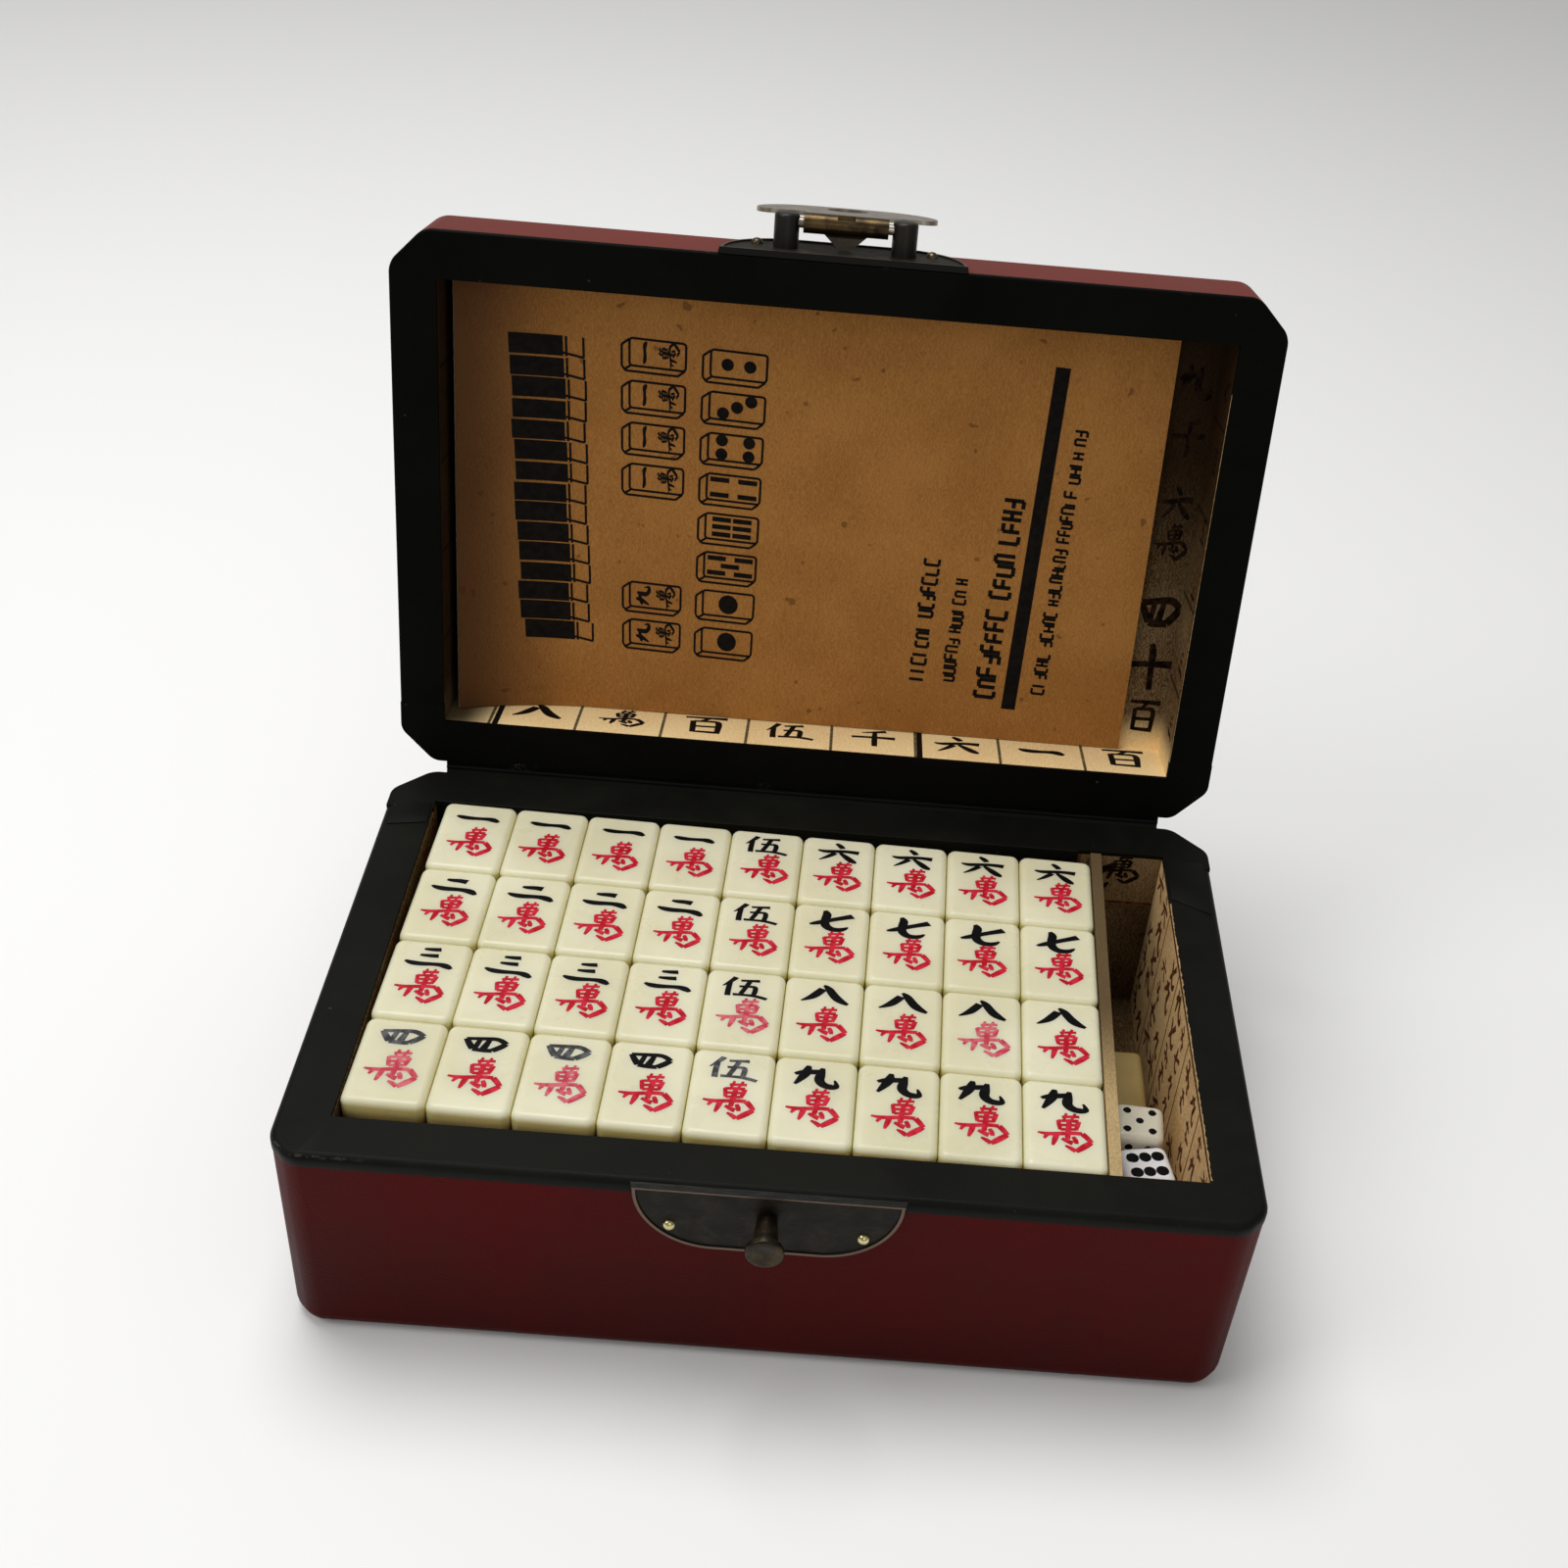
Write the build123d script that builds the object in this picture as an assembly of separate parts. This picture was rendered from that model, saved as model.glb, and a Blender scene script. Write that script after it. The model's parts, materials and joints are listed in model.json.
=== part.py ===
from build123d import *
import os
from math import asin, atan2, cos, degrees, hypot, radians, sin, sqrt, tan

# A leather-covered mahjong case with its lid open, its tiles, two dice and a rule book.
# Millimetres. +X is to the right, +Y to the back, +Z up. The origin is the centre of the
# underside. The lid and its latch are drawn closed and then swung open.

# Case
lid_height = 26.0           # rim to top of the closed lid
lid_setback = 1.0           # the lid's outside stands this far inside the base's
closed_gap = 0.4            # between the two rims when closed
corner_cut = 9.5            # upright corners, cut off at 45 degrees
corner_round = 5.5          # rounding of the upright edges
bottom_round = 4.8          # rounding of the base's lower edge
top_round = 4.0             # rounding of the lid's upper edge
leather = 0.8               # leather that covers the outside
lining = 0.5                # paper that lines the inside
wall_board = 11.7           # wooden walls of the base
floor_board = 5.5           # wooden floor of the base
lid_wall_board = 10.9       # wooden walls of the lid
lid_top_board = 4.7         # wooden top of the lid
rim_band = 1.2              # black leather band on both rims

# Leather hinge
open_angle = 102.0          # from closed to the lid's rest
hinge_behind = 1.0          # crease behind the base's back face
hinge_above = 1.5           # crease above the base's rim
crease_radius = 0.7         # rolled bead along the crease
crease_fit = 0.05           # between the bead and the lid's strip
crease_end = 3.0            # strip ends this far inside the cut corners
strip_depth = 17.0          # hinge strips, from the back faces inwards
tongue = 0.8                # thickness of the strips between rim and crease

# Tiles
tile_width = 20.0
tile_length = 29.0
tile_thick = 13.8
tile_corner = 1.4           # cut on a tile's upright corners
tile_edge = 0.7             # cut along the edges of its face
tile_columns = 9
tile_rows = 4
tile_layers = 4
tile_gap = 0.05             # between neighbours in a layer
stack_gap = 0.05            # between the layers and under the lowest one
well_gap = 0.1              # between the block of tiles and the walls
tile_proud = 0.2            # the upper tiles stand this far above the base's rim
well_slack = 4.85           # the well is this much deeper than the block, which lies turned in it
side_room = 23.6            # width of the well beside the block, for divider and compartment

# Side compartment
divider = 3.0               # upright board beside the tiles
divider_gap = 0.15          # from the tiles to the divider
divider_drop = 0.6          # its top under the rim
spare_from_wall = 3.5       # first spare tile to the right wall
spare_start = -40.0         # front end of the row of spare tiles
spare_gap = 0.6             # between the two spare tiles
die_size = 13.0
die_edge = 1.3              # cut along a die's edges
die_places = ((10.0, 1.6, -35.8), (-4.0, 0.9, -21.0))   # turn, x from the tile's middle, y

# Rule book in the lid
book_pages = 0.9
book_cover = 0.3
book_seat = 0.3             # to the lid's ceiling and lower wall
book_left_play = 1.8        # to the lid's left wall
book_right_play = 11.8      # to its right wall
book_top_play = 1.3         # to its front wall
curl_length = 40.0          # the left end lifts off over this length
curl_lift = 9.0

# Latch
plate_width = 63.0          # half-moon plates, straight edge along the rims
plate_depth = 20.0
plate_corner = 19.0
plate = 1.2
plate_edge = 0.8            # width of the raised border
plate_skirt = 0.5           # the plate's sides lean inwards by this
plate_edge_rise = 0.4
nail_side = 9.1             # nails, from the plate's ends
nail_inset = 12.4           # nails, from the straight edge
nail_head = 1.4
nail_rise = 0.9
nail_shank = 1.1            # square
nail_length = 9.0
drill_fit = 0.03            # play of shanks, tangs and the pin on each side of their holes
knob_inset = 7.8            # knob axis below the base's rim
knob_reach = 12.0           # from the leather to the knob's end
knob_shaft = 2.7
knob_taper = 0.35           # the shaft is this much thicker at the plate
knob_head = 4.5
knob_head_thick = 2.0
tang_side = 3.2             # square tangs that hold the knob and the posts in the wood
tang_length = 9.0
post_spread = 15.0          # posts, to each side of the middle
post_inset = 9.5            # posts and pin, from the lid's rim
post_radius = 3.2
post_height = 8.5
post_round = 1.0
pin_radius = 1.3
pin_height = 6.3            # pin axis above the plate
pin_fit = 0.05              # radial play of the hasp on its pin
hasp_sheet = 1.1
hasp_width = 46.5
hasp_length = 26.5          # pin axis to the hasp's free end
hasp_neck = 21.5            # width between the posts
hasp_neck_length = 5.0
hasp_corner = 17.0
hasp_shoulder = 4.0
hasp_hole = 5.4             # radius of the hole that goes over the knob
hasp_notch = 4.5
roll_end = 300.0            # the sheet is rolled this far round the pin, in degrees
fold_angle = 184.5          # hasp from closed to folded back
stop_lean = 12.0            # lean of the stop under the rolled edge, in degrees
stop_width = 13.0
stop_tip = 3.0
stop_sheet = 1.0
stop_gap = 0.1              # stop to the lid's plate at rest

# The case is made to fit its contents
block_width = tile_columns * tile_width + (tile_columns - 1) * tile_gap
block_depth = tile_rows * tile_length + (tile_rows - 1) * tile_gap
wall = leather + wall_board + lining
well_x = (block_width + side_room) / 2
well_y = (block_depth + well_slack) / 2
case_width = 2 * (well_x + wall)
case_depth = 2 * (well_y + wall)
board_low = leather + floor_board
well_floor = board_low + lining
layer_pitch = tile_thick + stack_gap
base_height = well_floor + tile_layers * layer_pitch - tile_proud
board_high = base_height - rim_band
lid_rim = base_height + closed_gap
nail_spread = plate_width / 2 - nail_side
lid_top = lid_rim + lid_height
lid_wall = leather + lid_wall_board + lining
lid_well_x = case_width / 2 - lid_setback - lid_wall
lid_well_y = case_depth / 2 - lid_setback - lid_wall
lid_board_low = lid_rim + rim_band
lid_board_high = lid_top - leather - lid_top_board
lid_ceiling = lid_board_high - lining
crease_y = case_depth / 2 + hinge_behind
crease_z = base_height + hinge_above
crease_length = case_width - 2 * (lid_setback + corner_cut + crease_end)
pin_y = -(case_depth / 2 - lid_setback + plate + pin_height)
pin_z = lid_rim + post_inset
hinge_axis = Axis((0, crease_y, crease_z), (1, 0, 0))
pin_axis = Axis((0, pin_y, pin_z), (1, 0, 0))
base_face = Plane((0, -case_depth / 2, base_height), x_dir=(-1, 0, 0), z_dir=(0, -1, 0))
lid_face = Plane((0, lid_setback - case_depth / 2, lid_rim), x_dir=(1, 0, 0), z_dir=(0, -1, 0))

# The block of tiles is a little shallower than the well and lies turned in it, against the
# front, back and left walls.
block_span = 2 * (well_y - well_gap)
block_turn = asin(block_span / hypot(block_width, block_depth)) - atan2(block_depth, block_width)
block_x = (well_gap - well_x + block_width / 2 * cos(block_turn)
           + block_depth / 2 * sin(block_turn))

book_left = book_left_play - lid_well_x
book_right = lid_well_x - book_right_play
book_height = 2 * lid_well_y - book_seat - book_top_play


def case_plan(inset):
    """Outline of the case from above, drawn inside its outer faces by inset."""
    plan = Rectangle(case_width - 2 * inset, case_depth - 2 * inset)
    plan = chamfer(plan.vertices(), corner_cut - inset * (2 - sqrt(2)))
    return fillet(plan.vertices(), corner_round - inset)


def case_block(inset, low, high):
    """Solid of the case's outline from low to high."""
    return Pos(0, 0, low) * extrude(case_plan(inset), high - low)


def end_board(inset, low, high, edge, upper):
    """Floor or top board of the case, with its outer edge planed off: the upper or the lower one."""
    solid = case_block(inset, low, high)
    return chamfer(solid.edges().group_by(Axis.Z)[-1 if upper else 0], edge)


def end_cover(board, inset, low, high, edge, upper):
    """Leather over a floor or top board, with its outer edge rounded."""
    solid = case_block(inset, low, high)
    return fillet(solid.edges().group_by(Axis.Z)[-1 if upper else 0], edge) - board


def side_plan(side, half_x, half_y):
    """Plan of one side of a frame, mitred at 45 degrees from the corners of its opening."""
    far_x = half_x + 2 * wall
    far_y = half_y + 2 * wall
    points = {
        "front": [(-half_x, -half_y), (half_x, -half_y), (far_x, -far_y), (-far_x, -far_y)],
        "back": [(-half_x, half_y), (half_x, half_y), (far_x, far_y), (-far_x, far_y)],
        "left": [(-half_x, -half_y), (-half_x, half_y), (-far_x, far_y), (-far_x, -far_y)],
        "right": [(half_x, -half_y), (half_x, half_y), (far_x, far_y), (far_x, -far_y)],
    }[side]
    return Polygon(*points, align=None)


def side_board(side, inset, thick, low, high):
    """One wooden wall, whose outer face lies inside the case's face by inset."""
    plan = side_plan(side, case_width / 2 - inset - thick, case_depth / 2 - inset - thick)
    return Pos(0, 0, low) * extrude(case_plan(inset) & plan, high - low)


def side_cover(inset, low, high):
    """Leather round the upright faces, as one wrapped sheet."""
    return Pos(0, 0, low) * extrude(case_plan(inset) - case_plan(inset + leather), high - low)


def box_lining(half_x, half_y, low, high, closed_low):
    """Paper on the four walls and on the floor (closed_low) or the ceiling of a hollow."""
    outer = Pos(0, 0, (low + high) / 2) * Box(2 * (half_x + lining), 2 * (half_y + lining), high - low)
    shift = lining if closed_low else -lining
    inner = Pos(0, 0, (low + high) / 2 + shift) * Box(2 * half_x, 2 * half_y, high - low)
    return outer - inner


def rim_plan(inset, half_x, half_y):
    """Plan of a rim's leather band."""
    return case_plan(inset) - Rectangle(2 * half_x, 2 * half_y)


def strip_plan(inset):
    """Region behind the front edge of a hinge strip."""
    back = case_depth / 2 - inset
    return Pos(0, back - strip_depth / 2) * Rectangle(case_width, strip_depth)


def rim_strips(inset, half_x, half_y, low):
    """Front, left and right bands, mitred at the front corners, up to the hinge strip."""
    band = rim_plan(inset, half_x, half_y) - strip_plan(inset)
    strips = [extrude(band & side_plan(side, half_x, half_y), rim_band)
              for side in ("front", "left", "right")]
    return Compound(children=[Pos(0, 0, low) * strip for strip in strips])


def along_crease(profile):
    """Extrude a profile drawn in (y, z) along the crease."""
    return extrude(Plane.YZ.offset(-crease_length / 2) * profile, crease_length)


def base_hinge_strip():
    """Strip on the back rim, with a neck up to the rolled bead on the crease."""
    band = extrude(rim_plan(0, well_x, well_y) & strip_plan(0), rim_band)
    back = case_depth / 2
    bead = Pos(crease_y, crease_z) * Circle(crease_radius)
    neck = Polygon(
        (back, base_height), (back, base_height - rim_band), (back + tongue, base_height - rim_band),
        (crease_y + crease_radius * 0.9, crease_z - crease_radius * 0.4),
        (crease_y - crease_radius * 0.6, crease_z - crease_radius * 0.7), align=None)
    return Pos(0, 0, board_high) * band + along_crease(bead + neck)


def lid_hinge_strip():
    """Strip on the lid's back rim, with a tongue that closes round the bead."""
    band = extrude(rim_plan(lid_setback, lid_well_x, lid_well_y) & strip_plan(lid_setback), rim_band)
    back = case_depth / 2 - lid_setback
    reach = crease_y - back - crease_radius / 2
    flat = Pos(back + reach / 2, crease_z) * Rectangle(reach, tongue)
    seat = Pos(crease_y, crease_z) * Circle(crease_radius + crease_fit)
    root = Pos(back - tongue / 2, crease_z - tongue / 2) * Rectangle(tongue, tongue * 2)
    root = root & Pos(back, lid_rim + rim_band / 2) * Rectangle(4 * tongue, rim_band)
    return Pos(0, 0, lid_rim) * band + along_crease(flat + root - seat)


def turned(points):
    """Turn a profile of (radius, height) points about Z."""
    return Rot(X=90) * revolve(make_face(Polyline(*points, points[0])), Axis.Y)


def tang(side, length):
    """Square shank that goes down into the wood."""
    return Pos(0, 0, -length / 2) * Box(side, side, length)


def nail(spread):
    """Nail with a low domed head on the plate and a square shank."""
    dome = [(0, 0), (nail_head, 0), (nail_head * 0.7, nail_rise * 0.75), (0, nail_rise)]
    return Pos(spread, nail_inset, plate) * (turned(dome) + tang(nail_shank, nail_length))


def lock_knob():
    """Turned knob with a slightly tapered shaft and a flat head, on a square tang."""
    reach = knob_reach - plate
    neck = reach - knob_head_thick
    bevel = knob_head_thick / 4
    profile = [(0, 0), (knob_shaft + knob_taper, 0), (knob_shaft, neck - 2 * bevel),
               (knob_head - 2 * bevel, neck), (knob_head, neck + bevel), (knob_head, reach - bevel),
               (knob_head - bevel, reach), (0, reach)]
    return Pos(0, knob_inset, plate) * (turned(profile) + tang(tang_side, tang_length))


def plate_outline(inset=0.0):
    """Half-moon with its straight edge on the X axis, drawn inside its edges by inset."""
    far = plate_depth - inset
    outline = Pos(0, (far - plate_corner) / 2) * Rectangle(plate_width - 2 * inset, far + plate_corner)
    outline = fillet(outline.vertices().sort_by(Axis.Y)[-2:], plate_corner - inset)
    return outline & Pos(0, inset + plate_depth) * Rectangle(2 * plate_width, 2 * plate_depth)


def lock_plate(pegs):
    """Half-moon plate with leaning sides and a raised border, pierced for its nails and pegs."""
    top = plate + plate_edge_rise
    solid = extrude(plate_outline(), top, taper=degrees(atan2(plate_skirt, top)))
    field = extrude(plate_outline(plate_skirt + plate_edge), plate_edge_rise)
    return solid - Pos(0, 0, plate) * field - plate_drills(pegs)


def plate_drills(pegs):
    """Square holes for the nails and the pegs, through the plate, the leather and the wood."""
    deep = 2 * (nail_length + tang_length)
    small = nail_shank + 2 * drill_fit
    large = tang_side + 2 * drill_fit
    tools = [Pos(x, nail_inset) * Box(small, small, deep) for x in (-nail_spread, nail_spread)]
    tools += [Pos(x, y) * Box(large, large, deep) for x, y in pegs]
    return Compound(children=tools)


def post(side):
    """Round post with its top edge taken off, bored across for the pin, on a square tang."""
    profile = [(0, 0), (post_radius, 0), (post_radius, post_height - post_round),
               (post_radius - post_round, post_height), (0, post_height)]
    bore = Rot(Y=90) * Cylinder(pin_radius + drill_fit, 4 * post_radius)
    solid = turned(profile) - Pos(0, 0, pin_height) * bore + tang(tang_side, tang_length)
    return Pos(side * post_spread, post_inset, plate) * solid


def pin():
    """Straight pin, flush with the outer sides of the posts."""
    length = 2 * (post_spread + post_radius - post_round / 2)
    return Pos(0, post_inset, plate + pin_height) * Rot(Y=90) * Cylinder(pin_radius, length)


def hasp():
    """Sheet hasp, closed: rolled round the pin, with a narrow neck between the posts, wide
    rounded wings, the hole for the knob and a pointed stop. Drawn with the pin on the X axis,
    +Y towards the case and the wings hanging down."""
    bore = pin_radius + pin_fit
    outer = bore + hasp_sheet
    ring = Circle(outer) - Circle(bore)
    gap = 360.0 - roll_end
    far = 2 * outer
    slit = Polygon((0, 0), (far, 0), (far, -far * tan(radians(gap / 2))),
                   (far * cos(radians(gap)), -far * sin(radians(gap))), align=None)
    roll = extrude(Plane.YZ.offset(-hasp_neck / 2) * (ring - slit), hasp_neck)

    wing_depth = hasp_length - hasp_neck_length
    wings = Pos(0, -hasp_neck_length - wing_depth / 2) * Rectangle(hasp_width, wing_depth)
    corners = wings.vertices().sort_by(Axis.Y)
    wings = fillet(corners[:2], hasp_corner)
    wings = fillet(wings.vertices().sort_by(Axis.Y)[-2:], hasp_shoulder)
    neck = Pos(0, -hasp_neck_length / 2 - 0.5) * Rectangle(hasp_neck, hasp_neck_length + 1.0)
    hole = Pos(0, -post_inset - closed_gap - knob_inset) * Circle(hasp_hole)
    sheet = extrude(Plane.XZ.offset(-outer) * (wings + neck - hole), hasp_sheet)

    stop = Polygon((-stop_width / 2, bore), (stop_width / 2, bore), (stop_tip / 2, stop_reach()),
                   (-stop_tip / 2, stop_reach()), align=None)
    stop = Pos(0, 0, -stop_sheet / 2) * extrude(stop, stop_sheet)
    notch = Pos(0, outer, outer / 2 + 0.2) * Box(hasp_notch, outer, outer)
    solid = roll - notch + sheet
    solid = solid + Rot(X=fold_angle + stop_lean) * stop
    return Pos(0, pin_y, pin_z) * (solid - Rot(Y=90) * Cylinder(bore, hasp_neck + 1))


def stop_reach():
    """Length of the stop, so that its tip just clears the lid's plate at rest."""
    lean = radians(stop_lean)
    return (pin_height - stop_gap - stop_sheet / 2 * sin(lean)) / cos(lean)


def tile(edge):
    """Mahjong tile, face up and centred, with its corners and the edges of its face taken off."""
    solid = extrude(chamfer(Rectangle(tile_width, tile_length).vertices(), tile_corner), tile_thick)
    if edge:
        solid = chamfer(solid.edges().group_by(Axis.Z)[-1], edge)
    return solid


def tile_row(row, layer, edge):
    """One row of tiles across the well; row 0 is the back one, layer 0 the lowest."""
    y = (block_depth - tile_length) / 2 - row * (tile_length + tile_gap)
    z = well_floor + stack_gap + layer * layer_pitch
    first = (tile_width - block_width) / 2
    one = tile(edge)
    place = Pos(block_x, 0, z) * Rot(Z=-degrees(block_turn))
    return [place * Pos(first + column * (tile_width + tile_gap), y) * one
            for column in range(tile_columns)]


def divider_board():
    """Upright board beside the tiles, from the front wall to the back wall."""
    near = block_width / 2 + divider_gap

    def corner(offset, y):
        along = (y + offset * sin(block_turn)) / cos(block_turn)
        return (block_x + offset * cos(block_turn) + along * sin(block_turn), y)

    plan = Polygon(corner(near, -well_y), corner(near + divider, -well_y),
                   corner(near + divider, well_y), corner(near, well_y), align=None)
    return Pos(0, 0, well_floor) * extrude(plan, base_height - divider_drop - well_floor)


def spare_tile(index):
    """Plain tile on its long edge in the side compartment; 0 is the front one."""
    x = well_x - spare_from_wall - tile_thick / 2
    y = spare_start + tile_length / 2 + index * (tile_length + spare_gap)
    upright = Rot(Y=90) * Pos(0, 0, -tile_thick / 2) * tile(tile_edge)
    return Pos(x, y, well_floor + stack_gap + tile_width / 2) * upright


def die(turn, x_offset, y):
    """Die with its edges taken off, on top of the front spare tile."""
    solid = chamfer(Box(die_size, die_size, die_size).edges(), die_edge)
    x = well_x - spare_from_wall - tile_thick / 2 + x_offset
    z = well_floor + 2 * stack_gap + tile_width + die_size / 2
    return Pos(x, y, z) * Rot(Z=turn) * solid


def curled_sheet(depth, thick, right, left):
    """Book layer under the lid's ceiling: flat, with its left end curling away from it.
    depth is from the ceiling to the layer's upper side."""
    z = lid_ceiling - depth
    angle = 2 * degrees(atan2(curl_lift, curl_length))
    radius = curl_length / sin(radians(angle)) - (depth - book_seat)
    start = left + curl_length
    flat = Pos((right + start) / 2, z - thick / 2) * Rectangle(right - start, thick)
    centre = Pos(start, z - radius)
    ring = Circle(radius) - Circle(radius - thick)
    far = 2 * radius
    sector = Polygon((0, 0), (0, far), (-far * sin(radians(angle)), far * cos(radians(angle))),
                     align=None)
    return flat + centre * (ring & sector)


def book_solid(profile):
    """Extrude a book profile drawn in (x, z) over the book's height."""
    top = lid_well_y - book_seat
    return extrude(Plane((0, top, 0), x_dir=(1, 0, 0), z_dir=(0, -1, 0)) * profile, book_height)


def rule_book():
    """Pages, and a cover that is folded round their right edge."""
    left, right = book_left, book_right
    depth = book_seat
    back_cover = curled_sheet(depth, book_cover, right, left)
    pages = curled_sheet(depth + book_cover, book_pages, right - book_cover, left)
    front_cover = curled_sheet(depth + book_cover + book_pages, book_cover, right, left)
    spine_height = 2 * book_cover + book_pages
    spine = Pos(right - book_cover / 2, lid_ceiling - depth - spine_height / 2)
    spine = spine * Rectangle(book_cover, spine_height)
    return book_solid(pages), book_solid(back_cover + front_cover + spine)


def opened(shape):
    """Swing a closed lid piece to the lid's rest."""
    return shape.rotate(hinge_axis, -open_angle)


def folded(shape):
    """Fold the closed hasp back over the lid's plate."""
    return shape.rotate(pin_axis, -fold_angle)


def base_pieces():
    """Wooden box, its leather and paper, and the lower half of the latch."""
    pegs = [(0, knob_inset)]
    drills = base_face * plate_drills(pegs)
    pieces = {}
    for side in ("front", "back", "left", "right"):
        pieces[f"base_{side}_board"] = side_board(side, leather, wall_board, board_low, board_high)
    pieces["base_front_board"] -= drills
    floor = end_board(leather, leather, board_low, bottom_round / 2, False)
    pieces["base_floor_board"] = floor
    pieces["base_cover"] = side_cover(0, board_low, board_high) - drills
    pieces["base_bottom_cover"] = end_cover(floor, 0, 0, board_low, bottom_round, False)
    pieces["base_lining"] = box_lining(well_x, well_y, board_low, board_high, True)
    pieces["base_rim"] = rim_strips(0, well_x, well_y, board_high)
    pieces["hinge_strip_base"] = base_hinge_strip()
    pieces["compartment_divider"] = divider_board()
    pieces["base_lock_plate"] = base_face * lock_plate(pegs)
    pieces["base_plate_nails"] = base_face * Compound(children=[nail(-nail_spread), nail(nail_spread)])
    pieces["lock_knob"] = base_face * lock_knob()
    return pieces


def lid_pieces():
    """Wooden lid, closed, with its leather and paper and the upper half of the latch."""
    inset = lid_setback
    pegs = [(-post_spread, post_inset), (post_spread, post_inset)]
    drills = lid_face * plate_drills(pegs)
    pieces = {}
    for side in ("front", "back", "left", "right"):
        pieces[f"lid_{side}_board"] = side_board(side, inset + leather, lid_wall_board,
                                                 lid_board_low, lid_board_high)
    pieces["lid_front_board"] -= drills
    top = end_board(inset + leather, lid_board_high, lid_top - leather, top_round / 2, True)
    pieces["lid_top_board"] = top
    pieces["lid_cover"] = side_cover(inset, lid_board_low, lid_board_high) - drills
    pieces["lid_top_cover"] = end_cover(top, inset, lid_board_high, lid_top, top_round, True)
    pieces["lid_lining"] = box_lining(lid_well_x, lid_well_y, lid_board_low, lid_board_high, False)
    pieces["lid_rim"] = rim_strips(inset, lid_well_x, lid_well_y, lid_rim)
    pieces["hinge_strip_lid"] = lid_hinge_strip()
    pieces["lid_lock_plate"] = lid_face * lock_plate(pegs)
    pieces["lid_plate_nails"] = lid_face * Compound(children=[nail(-nail_spread), nail(nail_spread)])
    pieces["hasp_posts"] = lid_face * Compound(children=[post(-1), post(1)])
    pieces["hasp_pin"] = lid_face * pin()
    pieces["booklet_pages"], pieces["booklet_cover"] = rule_book()
    return pieces


def tile_pieces():
    """Lower layers of tiles, and the top layer row by row from the back."""
    pieces = {}
    for layer in range(tile_layers - 1):
        rows = [tile_row(row, layer, 0) for row in range(tile_rows)]
        pieces[f"tiles_layer_{layer + 1}"] = Compound(children=sum(rows, []))
    for row in range(tile_rows):
        pieces[f"tiles_row_{row + 1}"] = Compound(children=tile_row(row, tile_layers - 1, tile_edge))
    return pieces


def loose_pieces():
    """Spare tiles and dice in the side compartment."""
    pieces = {"spare_tile_1": spare_tile(1), "spare_tile_2": spare_tile(0)}
    for number, place in enumerate(die_places, start=1):
        pieces[f"die_{number}"] = die(*place)
    return pieces


def build():
    """All pieces by name, with the lid open and the hasp folded back."""
    pieces = base_pieces()
    pieces.update({name: opened(shape) for name, shape in lid_pieces().items()})
    pieces["hasp"] = opened(folded(hasp()))
    pieces.update(tile_pieces())
    pieces.update(loose_pieces())
    return pieces


os.makedirs("parts", exist_ok=True)
for name, shape in build().items():
    export_step(shape, f"parts/{name}.step")
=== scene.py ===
# Looks of the mahjong case: red and black leather, ruled paper, ivory tiles, booklet and aged metal latch.
import bpy
import bmesh
import json
import random
from math import atan2, cos, pi, radians, sin, tan
from mathutils import Matrix, Vector
from mathutils.bvhtree import BVHTree


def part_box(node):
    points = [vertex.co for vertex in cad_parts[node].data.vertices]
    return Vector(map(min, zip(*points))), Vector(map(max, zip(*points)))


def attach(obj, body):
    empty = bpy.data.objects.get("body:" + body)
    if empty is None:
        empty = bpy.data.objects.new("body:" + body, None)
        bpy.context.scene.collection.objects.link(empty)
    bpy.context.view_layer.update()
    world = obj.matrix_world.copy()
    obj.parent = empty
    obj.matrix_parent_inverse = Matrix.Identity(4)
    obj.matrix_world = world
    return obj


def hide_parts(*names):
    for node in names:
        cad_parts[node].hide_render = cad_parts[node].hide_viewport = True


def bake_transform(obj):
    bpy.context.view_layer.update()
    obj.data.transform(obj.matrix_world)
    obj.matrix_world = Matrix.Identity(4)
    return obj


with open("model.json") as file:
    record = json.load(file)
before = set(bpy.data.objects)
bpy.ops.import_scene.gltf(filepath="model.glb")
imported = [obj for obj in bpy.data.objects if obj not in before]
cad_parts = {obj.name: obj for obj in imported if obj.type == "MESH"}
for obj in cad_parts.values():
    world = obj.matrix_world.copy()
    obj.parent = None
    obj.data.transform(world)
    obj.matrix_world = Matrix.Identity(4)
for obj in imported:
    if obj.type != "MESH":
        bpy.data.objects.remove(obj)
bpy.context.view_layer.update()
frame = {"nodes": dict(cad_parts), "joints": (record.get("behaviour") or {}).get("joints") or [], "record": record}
nodes = frame["nodes"]
scene = bpy.context.scene
mm = 0.001

# the lid's closed place, which most of its pieces are drawn in
lidPose = {"open": 102}
crease = Vector(next(joint["pos_m"] for joint in frame["joints"] if joint["name"] == "lid_hinge"))
openTurn = Matrix.Rotation(radians(-lidPose["open"]), 4, "X")
toRest = Matrix.Translation(crease) @ openTurn @ Matrix.Translation(-crease)
toClosed = toRest.inverted()


def closedPoints(name):
    return [toClosed @ vertex.co for vertex in nodes[name].data.vertices]


def extent(points):
    return tuple(Vector([pick(point[axis] for point in points) for axis in range(3)])
                 for pick in (min, max))


def closedBox(name):
    return extent(closedPoints(name))


def toMesh(bm, name):
    mesh = bpy.data.meshes.new(name)
    bm.to_mesh(mesh)
    bm.free()
    return mesh


# camera and light
cameraView = {"lens": 44.34, "sensor": 36, "place": (0.0031, -0.3658, 0.3950),
              "turn": (50.634, -4.070, 2.109), "shiftX": -0.0357, "shiftY": 0.0574}


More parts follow.
